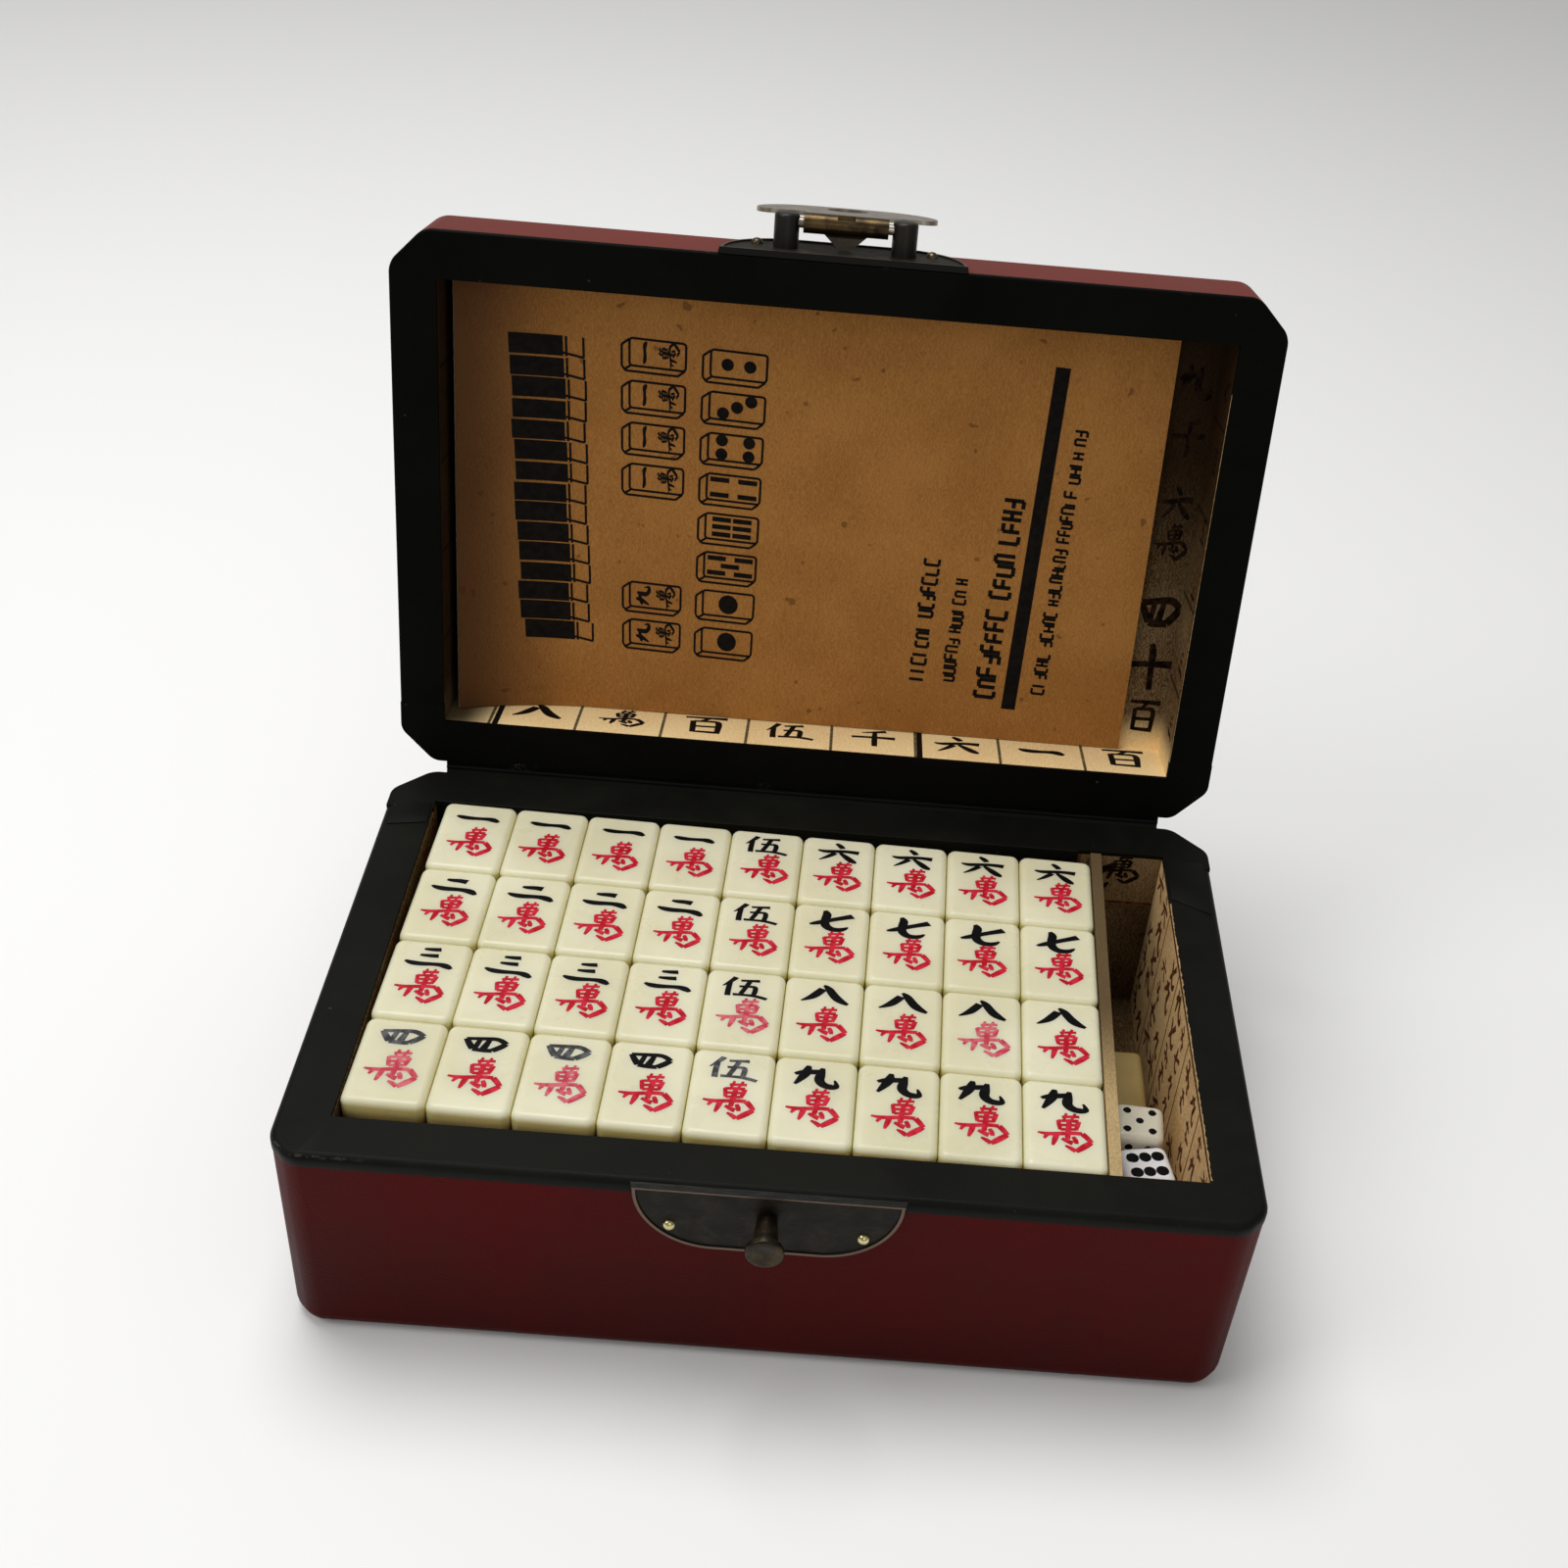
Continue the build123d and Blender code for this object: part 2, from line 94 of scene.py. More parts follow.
def addCamera():
    data = bpy.data.cameras.new("camera")
    data.lens, data.sensor_width = cameraView["lens"], cameraView["sensor"]
    data.shift_x, data.shift_y = cameraView["shiftX"], cameraView["shiftY"]
    data.clip_start = 0.01
    camera = bpy.data.objects.new("camera", data)
    camera.location = cameraView["place"]
    camera.rotation_euler = [radians(angle) for angle in cameraView["turn"]]
    scene.collection.objects.link(camera)
    scene.camera = camera


studio = {"floorSize": 8.0, "floorColour": (0.93, 0.93, 0.92, 1), "floorRough": 0.7,
          "sky": (1.0, 0.99, 0.97, 1), "skyPower": 0.32, "aim": Vector((0, 0, 0.08)),
          "lamps": (("top", (-0.25, 0.30, 1.3), 0.8, 10.8), ("side", (-0.9, -0.35, 1.1), 0.7, 4.0),
                    ("front", (0.3, -1.4, 1.0), 0.7, 2.2))}


def addStudio():
    for name, place, size, power in studio["lamps"]:
        data = bpy.data.lights.new(name + "Lamp", "AREA")
        data.shape, data.size, data.energy = "DISK", size, power
        lamp = bpy.data.objects.new(name + "Lamp", data)
        lamp.location = place
        lamp.rotation_euler = (studio["aim"] - Vector(place)).to_track_quat("-Z", "Y").to_euler()
        scene.collection.objects.link(lamp)
    world = bpy.data.worlds.new("paleRoom")
    world.use_nodes = True
    backdrop = world.node_tree.nodes["Background"]
    backdrop.inputs["Color"].default_value = studio["sky"]
    backdrop.inputs["Strength"].default_value = studio["skyPower"]
    scene.world = world
    bm = bmesh.new()
    bmesh.ops.create_grid(bm, x_segments=1, y_segments=1, size=studio["floorSize"] / 2)
    floor = bpy.data.objects.new("floor", toMesh(bm, "floor"))
    scene.collection.objects.link(floor)
    finish = bpy.data.materials.new("paleFloor")
    finish.use_nodes = True
    shader = finish.node_tree.nodes["Principled BSDF"]
    shader.inputs["Base Color"].default_value = studio["floorColour"]
    shader.inputs["Roughness"].default_value = studio["floorRough"]
    floor.data.materials.append(finish)


addCamera()
addStudio()
scene.view_settings.view_transform = "Standard"
print("camera, lamps and floor")


# node helpers
def plug(tree, socket, value):
    if isinstance(value, bpy.types.NodeSocket):
        tree.links.new(value, socket)
    else:
        socket.default_value = value


def addNode(tree, kind, inputs=None, **settings):
    node = tree.nodes.new(kind)
    for key, value in settings.items():
        setattr(node, key, value)
    for key, value in (inputs or {}).items():
        plug(tree, node.inputs[key], value)
    return node


def calc(tree, operation, *values):
    node = addNode(tree, "ShaderNodeMath", operation=operation)
    for socket, value in zip(node.inputs, values):
        plug(tree, socket, value)
    return node.outputs[0]


def times(tree, *values):
    return calc(tree, "MULTIPLY", *values)


def plus(tree, *values):
    return calc(tree, "ADD", *values)


def minus(tree, *values):
    return calc(tree, "SUBTRACT", *values)


def largest(tree, *values):
    return calc(tree, "MAXIMUM", *values)


def smallest(tree, *values):
    return calc(tree, "MINIMUM", *values)


def vectorCalc(tree, operation, first, second):
    node = addNode(tree, "ShaderNodeVectorMath", {0: first, 1: second}, operation=operation)
    return node.outputs[0]


def stretch(tree, value, low, high, outLow=0.0, outHigh=1.0):
    node = addNode(tree, "ShaderNodeMapRange", {"Value": value, "From Min": low, "From Max": high,
                                                "To Min": outLow, "To Max": outHigh},
                   interpolation_type="SMOOTHSTEP")
    return node.outputs[0]


def noise(tree, vector, scale, detail=3.0, roughness=0.55, distortion=0.0):
    node = addNode(tree, "ShaderNodeTexNoise", {"Vector": vector, "Scale": scale, "Detail": detail,
                                                "Roughness": roughness, "Distortion": distortion})
    return node.outputs["Fac"]


def tint(tree, factor, first, second):
    node = addNode(tree, "ShaderNodeMix", data_type="RGBA", blend_type="MIX")
    plug(tree, node.inputs[0], factor)
    plug(tree, node.inputs[6], first)
    plug(tree, node.inputs[7], second)
    return node.outputs[2]


def startGroup(name, inputs, outputs):
    tree = bpy.data.node_groups.new(name, "ShaderNodeTree")
    for label, value in inputs.items():
        kind = "NodeSocketVector" if value is None else "NodeSocketFloat"
        socket = tree.interface.new_socket(label, in_out="INPUT", socket_type=kind)
        if value is not None:
            socket.default_value = value
    for label in outputs:
        tree.interface.new_socket(label, in_out="OUTPUT", socket_type="NodeSocketFloat")
    return tree, tree.nodes.new("NodeGroupInput").outputs, tree.nodes.new("NodeGroupOutput").inputs


def useGroup(tree, group, inputs):
    node = tree.nodes.new("ShaderNodeGroup")
    node.node_tree = group
    for key, value in inputs.items():
        plug(tree, node.inputs[key], value)
    return node.outputs


def linear(red, green, blue):  # colour as a painter reads it, 0 to 255
    return tuple((channel / 255) ** 2.2 for channel in (red, green, blue)) + (1,)


def startFinish(name, roughness, **constants):
    finish = bpy.data.materials.new(name)
    finish.use_nodes = True
    tree = finish.node_tree
    shader = tree.nodes["Principled BSDF"]
    plug(tree, shader.inputs["Roughness"], roughness)
    for key, value in constants.items():
        shader.inputs[key.replace("_", " ")].default_value = value
    return finish, tree, shader


def paint(tree, shader, colour, roughness=None, metal=None):
    for key, value in (("Base Color", colour), ("Roughness", roughness), ("Metallic", metal)):
        if value is not None:
            plug(tree, shader.inputs[key], value)


def objectPlace(tree, onLid=False):
    place = addNode(tree, "ShaderNodeTexCoord").outputs["Object"]
    if not onLid:
        return place
    node = addNode(tree, "ShaderNodeMapping", {"Vector": place})
    node.inputs["Rotation"].default_value = (radians(lidPose["open"]), 0, 0)
    node.inputs["Location"].default_value = toClosed.translation
    return node.outputs[0]


def splitPlace(tree, vector):
    return addNode(tree, "ShaderNodeSeparateXYZ", {"Vector": vector}).outputs


def flatPlace(tree, onLid):
    # place, and masks for the faces that look sideways and to front or back
    place = splitPlace(tree, objectPlace(tree, onLid))
    facing = addNode(tree, "ShaderNodeTexCoord").outputs["Normal"]
    if onLid:
        turn = addNode(tree, "ShaderNodeVectorRotate",
                       {"Vector": facing, "Angle": radians(lidPose["open"])}, rotation_type="X_AXIS")
        facing = turn.outputs[0]
    aim, steep = splitPlace(tree, facing), 0.6
    sideWall, frontWall = (calc(tree, "GREATER_THAN", calc(tree, "ABSOLUTE", aim[axis]), steep)
                           for axis in (0, 1))
    return place, sideWall, frontWall


def addBump(tree, shader, height, distance, strength=1.0):
    bump = addNode(tree, "ShaderNodeBump", {"Height": height, "Distance": distance, "Strength": strength})
    tree.links.new(bump.outputs[0], shader.inputs["Normal"])


# shared effects
grainLook = {"bendScale": 300.0, "bendBy": 0.0012, "cell": (0.0, 0.35), "fineTimes": 3.0, "finePart": 0.5,
             "mottle": (26.0, 5.0, 0.62, 0.4), "speckScale": 420.0, "speck": (0.80, 0.84)}


def makeLeatherGrain():
    tree, given, result = startGroup("leatherGrain", {"Vector": None, "Scale": 900.0},
                                     ("Height", "Mottle", "Speck"))
    place, scale = given["Vector"], given["Scale"]
    bend = addNode(tree, "ShaderNodeTexNoise", {"Vector": place, "Scale": grainLook["bendScale"],
                                                "Detail": 2.0})
    shifted = vectorCalc(tree, "MULTIPLY", bend.outputs["Color"], (grainLook["bendBy"],) * 3)
    moved = vectorCalc(tree, "ADD", place, shifted)
    pebble = addNode(tree, "ShaderNodeTexVoronoi", {"Vector": moved, "Scale": scale},
                     feature="DISTANCE_TO_EDGE")
    cell = stretch(tree, pebble.outputs["Distance"], *grainLook["cell"])
    fine = noise(tree, place, times(tree, scale, grainLook["fineTimes"]), 2.0)
    plug(tree, result["Height"], plus(tree, cell, times(tree, fine, grainLook["finePart"])))
    plug(tree, result["Mottle"], noise(tree, place, *grainLook["mottle"]))
    dots = noise(tree, place, grainLook["speckScale"], 1.0)
    plug(tree, result["Speck"], stretch(tree, dots, *grainLook["speck"]))
    return tree


wearLook = {"diagonal": 0.7071, "torn": (130.0, 6.0, 0.7), "tornTimes": 1.6, "fade": (1.0, 0.35)}


def makeEdgeWear():
    # rubbed band along the outer rim or foot of the cut-cornered case
    tree, given, result = startGroup("edgeWear", {"Vector": None, "Half Width": 0.115, "Half Depth": 0.0735,
                                                  "Cut": 0.0095, "Low": 0.0, "High": 0.062, "Reach": 0.002},
                                     ("Mask",))
    across, along, height = splitPlace(tree, given["Vector"])
    across, along = calc(tree, "ABSOLUTE", across), calc(tree, "ABSOLUTE", along)
    fromSide = minus(tree, given["Half Width"], across)
    fromFront = minus(tree, given["Half Depth"], along)
    fromCut = minus(tree, plus(tree, fromSide, fromFront), given["Cut"])
    fromCut = times(tree, fromCut, wearLook["diagonal"])
    inward = smallest(tree, smallest(tree, fromSide, fromFront), fromCut)
    upward = smallest(tree, minus(tree, given["High"], height), minus(tree, height, given["Low"]))
    away = largest(tree, inward, upward)
    torn = times(tree, noise(tree, given["Vector"], *wearLook["torn"]), wearLook["tornTimes"])
    near = calc(tree, "DIVIDE", away, times(tree, given["Reach"], torn))
    plug(tree, result["Mask"], stretch(tree, near, *wearLook["fade"]))
    return tree


def scaledPlace(tree, given):
    node = addNode(tree, "ShaderNodeVectorMath", {0: given["Vector"], "Scale": given["Scale"]},
                   operation="SCALE")
    return node.outputs[0]


fibreLook = {"cloud": 35.0, "cloudPart": 0.75, "strand": 260.0, "bend": 14.0, "strandPart": 0.25,
             "tooth": 1500.0, "fleckScale": 260.0, "fleck": (0.72, 0.77)}


def makePaperFibre():
    tree, given, result = startGroup("paperFibre", {"Vector": None, "Scale": 1.0},
                                     ("Shade", "Height", "Fleck"))
    place = scaledPlace(tree, given)
    cloud = noise(tree, place, fibreLook["cloud"], 4.0)
    strand = addNode(tree, "ShaderNodeTexWave", {"Vector": place, "Scale": fibreLook["strand"],
                                                 "Distortion": fibreLook["bend"], "Detail": 3.0,
                                                 "Detail Scale": 2.0})
    plug(tree, result["Shade"], plus(tree, times(tree, cloud, fibreLook["cloudPart"]),
                                     times(tree, strand.outputs["Fac"], fibreLook["strandPart"])))
    plug(tree, result["Height"], noise(tree, place, fibreLook["tooth"], 3.0))
    fleck = noise(tree, place, fibreLook["fleckScale"], 1.0)
    plug(tree, result["Fleck"], stretch(tree, fleck, *fibreLook["fleck"]))
    return tree


def makeRuling():
    # thin printed lines at an even pitch along one coordinate
    tree, given, result = startGroup("ruling", {"Place": 0.0, "Start": 0.0, "Pitch": 0.024, "Line": 0.0006},
                                     ("Mask",))
    step = calc(tree, "DIVIDE", minus(tree, given["Place"], given["Start"]), given["Pitch"])
    off = calc(tree, "ABSOLUTE", minus(tree, step, calc(tree, "ROUND", step)))
    off = times(tree, off, given["Pitch"])
    outer, inner = 0.6, 0.35  # soft edge of a line, as parts of its width
    plug(tree, result["Mask"], stretch(tree, off, times(tree, given["Line"], outer),
                                       times(tree, given["Line"], inner)))
    return tree


ageLook = {"patina": (170.0, 6.0, 0.65, 0.6), "squeeze": (1, 14, 14), "scratch": (260.0, 3.0, 0.7),
           "pit": (1400.0, 2.0)}


def makeMetalAge():
    tree, given, result = startGroup("metalAge", {"Vector": None, "Scale": 1.0},
                                     ("Patina", "Scratch", "Pit"))
    place = scaledPlace(tree, given)
    plug(tree, result["Patina"], noise(tree, place, *ageLook["patina"]))
    squeezed = addNode(tree, "ShaderNodeMapping", {"Vector": place})
    squeezed.inputs["Scale"].default_value = ageLook["squeeze"]
    plug(tree, result["Scratch"], noise(tree, squeezed.outputs[0], *ageLook["scratch"]))
    plug(tree, result["Pit"], noise(tree, place, *ageLook["pit"]))
    return tree


leatherGrain, edgeWear, paperFibre = makeLeatherGrain(), makeEdgeWear(), makePaperFibre()
ruling, metalAge = makeRuling(), makeMetalAge()
print("shared effects")


# finishes
# the paler red for the lid's front is painted sheen, where the open lid faces the light
redLeather = {"colour": linear(80, 16, 14), "deep": linear(58, 11, 9), "fadeAndSheen": linear(110, 54, 48),
              "rubbed": linear(120, 66, 56), "scale": 1100.0, "grain": 0.00003, "edge": 0.0012,
              "gloss": 0.06, "rough": 0.46, "patch": (0.64, 0.74), "rub": 0.6, "height": 0.06,
              "scuffed": False}
blackLeather = {"colour": linear(28, 28, 24), "deep": linear(20, 20, 17),
                "rubbed": linear(104, 100, 90), "scale": 1250.0, "grain": 0.000016, "edge": 0.0014,
                "gloss": 0.08, "rough": 0.5, "patch": (0.66, 0.74), "rub": 0.5, "height": None,
                "scuffed": True}
hingeLeather = {**blackLeather, "scuffed": False, "rub": 0.1}
# painted shade: the lid's black leather is a darker copy of the rim leather's black
shadedLidLeather = {**blackLeather, "scuffed": False, "rub": 0.3, "colour": linear(17, 17, 14),
              "deep": linear(11, 11, 9), "gloss": 0.05}
leatherWear = {"shade": (0.3, 0.75), "risePart": 0.6, "sheenBreakup": (0.2, 0.8, 0.75, 1.0), "patchScale": 42.0,
               "cornerSide": (-0.088, -0.104), "cornerFront": -0.066, "cornerPart": 0.85,
               "brokenScale": 1000.0, "broken": (0.42, 0.6), "speck": 0.22, "smoother": 0.07,
               "rougher": 0.1}


def leatherFinish(name, look, onLid, low, high, half, cut, paintedSheenFront=False):
    rough = look["rough"]
    finish, tree, shader = startFinish(name, rough, Specular_IOR_Level=look["gloss"])
    place = objectPlace(tree, onLid)
    grain = useGroup(tree, leatherGrain, {"Vector": place, "Scale": look["scale"]})
    wear = useGroup(tree, edgeWear, {"Vector": place, "Half Width": half[0], "Half Depth": half[1],
                                     "Cut": cut, "Low": low, "High": high, "Reach": look["edge"]})
    split, sideWall, frontWall = flatPlace(tree, onLid)
    shade = stretch(tree, grain["Mottle"], *leatherWear["shade"])
    if look["height"] and not onLid:  # painted shade: the red darkens towards the foot, which stands in the dark
        rise = stretch(tree, split[2], 0.0, look["height"])
        shade = plus(tree, times(tree, shade, 1 - leatherWear["risePart"]),
                     times(tree, rise, leatherWear["risePart"]))
    body = tint(tree, shade, look["deep"], look["colour"])
    if paintedSheenFront:  # painted sheen: paler red where the open lid's front faces the light
        ahead = times(tree, frontWall, calc(tree, "LESS_THAN", split[1], 0.0))
        sheenBreakup = stretch(tree, grain["Mottle"], *leatherWear["sheenBreakup"])
        body = tint(tree, times(tree, ahead, sheenBreakup), body, look["fadeAndSheen"])
    patch = stretch(tree, noise(tree, place, leatherWear["patchScale"]), *look["patch"])
    if look["scuffed"]:  # the rim's left front corner has had the most knocks
        knocked = times(tree, stretch(tree, split[0], *leatherWear["cornerSide"]),
                        calc(tree, "LESS_THAN", split[1], leatherWear["cornerFront"]))
        patch = largest(tree, patch, times(tree, knocked, leatherWear["cornerPart"]))
    broken = stretch(tree, noise(tree, place, leatherWear["brokenScale"], 2.0), *leatherWear["broken"])
    rubbed = times(tree, times(tree, wear["Mask"], patch), broken)
    body = tint(tree, times(tree, rubbed, look["rub"]), body, look["rubbed"])
    body = tint(tree, times(tree, grain["Speck"], leatherWear["speck"]), body, look["rubbed"])
    paint(tree, shader, body, stretch(tree, grain["Mottle"], 0.2, 0.8, rough - leatherWear["smoother"],
                                      rough + leatherWear["rougher"]))
    addBump(tree, shader, grain["Height"], look["grain"])
    return finish


# dim, lidDim and dark are painted shade colours that the lining paper is darkened to
lining = {"paper": linear(232, 196, 142), "shade": linear(200, 160, 108), "dim": linear(60, 44, 27),
          "lidPaper": linear(255, 228, 170), "lidShade": linear(246, 208, 150),
          "lidDim": linear(66, 42, 22), "dark": linear(38, 25, 14), "line": linear(96, 58, 36),
          "lidLine": linear(26, 20, 16), "wide": 0.0009, "sideStart": 0.0365, "sidePitch": 0.0248,
          "frontStart": -0.0415, "frontPitch": 0.0241, "lidShadeRange": (0.060, 0.048),
          "lidLow": (0.04, -0.03), "lidLeft": (-0.084, -0.098), "lowPart": 0.92,
          "backShadeRange": (0.0445, 0.0435, 0.84, 1.0), "leftShadeRange": (0.0, -0.05), "gloss": 0.06}


def liningFinish(name, onLid, lineColour):
    finish, tree, shader = startFinish(name, 0.8, Specular_IOR_Level=lining["gloss"])
    fibre = useGroup(tree, paperFibre, {"Vector": objectPlace(tree, onLid)})
    place, sideWall, frontWall = flatPlace(tree, onLid)
    sideLines, frontLines = (useGroup(tree, ruling, {"Place": place[axis], "Start": lining[wall + "Start"],
                                                     "Pitch": lining[wall + "Pitch"],
                                                     "Line": lining["wide"]})
                             for axis, wall in ((1, "side"), (0, "front")))
    lines = largest(tree, times(tree, sideLines["Mask"], sideWall),
                    times(tree, frontLines["Mask"], frontWall))
    shades = stretch(tree, fibre["Shade"], 0.3, 0.7)
    uneven = stretch(tree, fibre["Shade"], 0.2, 0.8, 1.0, 0.82)
    if onLid:  # painted shade: light by the hinge, darker towards the front, darkest low and on the left
        paintedShade = stretch(tree, place[1], *lining["lidShadeRange"])
        low = largest(tree, stretch(tree, place[1], *lining["lidLow"]),
                      stretch(tree, place[0], *lining["lidLeft"]))
        paper = tint(tree, shades, lining["lidShade"], lining["lidPaper"])
        paper = tint(tree, times(tree, paintedShade, uneven), paper, lining["lidDim"])
        paper = tint(tree, times(tree, low, lining["lowPart"]), paper, lining["dark"])
    else:  # painted shade on the left wall, on the back wall (most below its line) and on the floor
        lowBack = times(tree, frontWall, stretch(tree, place[2], *lining["backShadeRange"]))
        leftSide = times(tree, sideWall, stretch(tree, place[0], *lining["leftShadeRange"]))
        ground = minus(tree, 1.0, largest(tree, sideWall, frontWall))
        paintedShade = largest(tree, ground, largest(tree, lowBack, leftSide))
        paper = tint(tree, shades, lining["shade"], lining["paper"])
        paper = tint(tree, times(tree, paintedShade, uneven), paper, lining["dim"])
    fadeAndSheen = times(tree, lines, stretch(tree, fibre["Height"], 0.2, 0.5, 0.55, 0.9))
    paint(tree, shader, tint(tree, fadeAndSheen, paper, lineColour))
    addBump(tree, shader, fibre["Height"], 0.00004)
    return finish


papers = {
    "dividerPaper": {"colour": linear(188, 162, 118), "shade": linear(162, 136, 94),
                     "fleck": linear(104, 76, 46), "shadow": linear(66, 50, 30), "along": 1,
                     "reach": (-0.042, 0.0)},
    "kraftCover": {"colour": linear(172, 120, 62), "shade": linear(148, 98, 48),
                   "fleck": linear(76, 44, 22), "shadow": linear(66, 40, 22), "along": 0,
                   "reach": (-0.064, -0.098)},
    "creamPages": {"colour": linear(226, 214, 186), "shade": linear(206, 190, 158),
                   "fleck": linear(170, 150, 118)},
    "tornPaper": {"colour": linear(184, 150, 106), "shade": linear(140, 108, 72),
                  "fleck": linear(70, 48, 30)}}


def paperFinish(name):
    # the shadow is a colour that the paper turns to between the two ends of its reach, along one axis
    look = papers[name]
    finish, tree, shader = startFinish(name, 0.78, Specular_IOR_Level=0.2)
    place = objectPlace(tree)
    fibre = useGroup(tree, paperFibre, {"Vector": place, "Scale": 1.0})
    body = tint(tree, stretch(tree, fibre["Shade"], 0.25, 0.75), look["shade"], look["colour"])
    if "shadow" in look:
        shaded = stretch(tree, splitPlace(tree, place)[look["along"]], *look["reach"], 0.0, 0.85)
        body = tint(tree, shaded, body, look["shadow"])
    paint(tree, shader, tint(tree, times(tree, fibre["Fleck"], 0.55), body, look["fleck"]))
    addBump(tree, shader, fibre["Height"], 0.00005)
    return finish


# each ink: colour, worn colour, roughness and gloss
inks = {"blackInk": (linear(6, 6, 8), linear(16, 16, 19), 0.5, 0.1),
        "greyInk": (linear(58, 58, 60), linear(96, 96, 98), 0.6, 0.1),
        "redInk": (linear(172, 14, 34), linear(200, 40, 60), 0.5, 0.15),
        "pinkInk": (linear(186, 58, 74), linear(206, 104, 112), 0.6, 0.15),
        "brownInk": (linear(66, 34, 20), linear(112, 70, 44), 0.8, 0.1),
        "lidInk": (linear(20, 14, 9), linear(44, 32, 22), 0.8, 0.05),
        "printInk": (linear(18, 15, 14), linear(26, 22, 18), 0.7, 0.1)}


def inkFinish(name):
    colour, worn, roughness, gloss = inks[name]
    finish, tree, shader = startFinish(name, roughness, Specular_IOR_Level=gloss)
    place = objectPlace(tree)
    patch = stretch(tree, noise(tree, place, 480.0), 0.38, 0.62)
    paint(tree, shader, tint(tree, patch, colour, worn))
    addBump(tree, shader, noise(tree, place, 2600.0, 2.0), 0.00003)
    return finish


tileTone = {"face": (linear(214, 208, 174), linear(228, 223, 194)), "neck": linear(228, 218, 140),
            "foot": linear(142, 100, 38), "layer": 13.85 * mm, "start": 6.85 * mm, "thick": 13.8 * mm,
            "neckGlowDepth": (0.5 * mm, 2.4 * mm, 0.0, 0.8), "footShadeDepth": (2.6 * mm, 7.0 * mm, 0.0, 0.85),
            "glow": (1.0, 0.75, 0.4), "spare": (linear(148, 126, 74), linear(172, 150, 96))}


def polish(tree, shader, place, body, low, high):
    # hand-polished surface, a little wavy and unevenly glossy
    paint(tree, shader, body, stretch(tree, noise(tree, place, 90.0, 5.0), 0.2, 0.8, low, high))
    addBump(tree, shader, noise(tree, place, 160.0), 0.0001, 0.5)


def tileFinish():
    # ivory face; painted light: greenish yellow just under it; painted shade: amber towards the tile's back
    finish, tree, shader = startFinish("ivoryTile", 0.3, Subsurface_Weight=0.5, Subsurface_Scale=0.006,
                                       Specular_IOR_Level=0.35)
    shader.inputs["Subsurface Radius"].default_value = tileTone["glow"]
    place = objectPlace(tree)
    body = tint(tree, stretch(tree, noise(tree, place, 28.0, 4.0), 0.3, 0.7), *tileTone["face"])
    inLayer = calc(tree, "FLOORED_MODULO", minus(tree, splitPlace(tree, place)[2], tileTone["start"]),
                   tileTone["layer"])
    depth = minus(tree, tileTone["thick"], inLayer)
    # painted light: greenish yellow just under the face, for light showing through the tile's edges
    body = tint(tree, stretch(tree, depth, *tileTone["neckGlowDepth"]), body, tileTone["neck"])
    # painted shade: amber and darker towards each tile's back
    body = tint(tree, stretch(tree, depth, *tileTone["footShadeDepth"]), body, tileTone["foot"])
    polish(tree, shader, place, body, 0.22, 0.42)
    return finish


def spareFinish():
    # painted shade: the spare tiles in the side compartment get a darker amber copy of the tiles' colour
    finish, tree, shader = startFinish("shadedAmberTile", 0.35, Subsurface_Weight=0.2, Subsurface_Scale=0.004)
    place = objectPlace(tree)
    body = tint(tree, stretch(tree, noise(tree, place, 40.0, 4.0), 0.3, 0.7), *tileTone["spare"])
    polish(tree, shader, place, body, 0.28, 0.46)
    return finish


def dieFinish(name, pale, white):
    finish, tree, shader = startFinish(name, 0.28, Subsurface_Weight=0.15, Subsurface_Scale=0.003)
    place = objectPlace(tree)
    paint(tree, shader, tint(tree, noise(tree, place, 60.0), pale, white),
          stretch(tree, noise(tree, place, 200.0), 0.2, 0.8, 0.2, 0.36))
    return finish


def woodFinish():
    finish, tree, shader = startFinish("boardWood", 0.7)
    rings = addNode(tree, "ShaderNodeTexWave", {"Vector": objectPlace(tree), "Scale": 60.0,
                                                "Distortion": 7.0, "Detail": 3.0,
                                                "Detail Scale": 1.4}, bands_direction="Z")
    paint(tree, shader, tint(tree, rings.outputs["Fac"], linear(150, 112, 72), linear(186, 148, 102)))
    addBump(tree, shader, rings.outputs["Fac"], 0.0001)
    return finish


# ridge: coordinate (closed lid or base) beyond which a plate's raised border is rubbed bright
plainMetal = {"rough": 0.4, "least": 0.35, "dullest": 0.7, "gloss": 0.5, "onLid": False, "ridge": None}
plateMetal = {**plainMetal, "fresh": linear(118, 100, 88), "aged": linear(27, 26, 21), "rough": 0.5,
              "least": 0.92, "dullest": 0.1, "gloss": 0.15}
metals = {
    "agedPlateBase": {**plateMetal, "ridge": -0.0749},
    "agedPlateLid": {**plateMetal, "onLid": True, "ridge": -0.0739},
    "rubbedBronze": {**plainMetal, "fresh": linear(104, 86, 60), "aged": linear(36, 30, 20), "rough": 0.34,
                     "least": 0.55},
    "darkPost": {**plainMetal, "fresh": linear(60, 52, 40), "aged": linear(24, 22, 18), "least": 0.6,
                 "dullest": 0.4},
    "brightNickel": {**plainMetal, "fresh": linear(214, 208, 196), "aged": linear(120, 110, 94),
                     "rough": 0.3},
    "dullNail": {**plainMetal, "fresh": linear(128, 112, 84), "aged": linear(58, 50, 36), "rough": 0.3,
                 "least": 0.5},
    "nailHead": {**plainMetal, "fresh": linear(236, 226, 172), "aged": linear(196, 184, 132), "rough": 0.2,
                 "least": 0.0, "dullest": 1.0}}
plateWearAndShade = {"soft": 0.00012, "border": 0.85, "sides": 0.4}


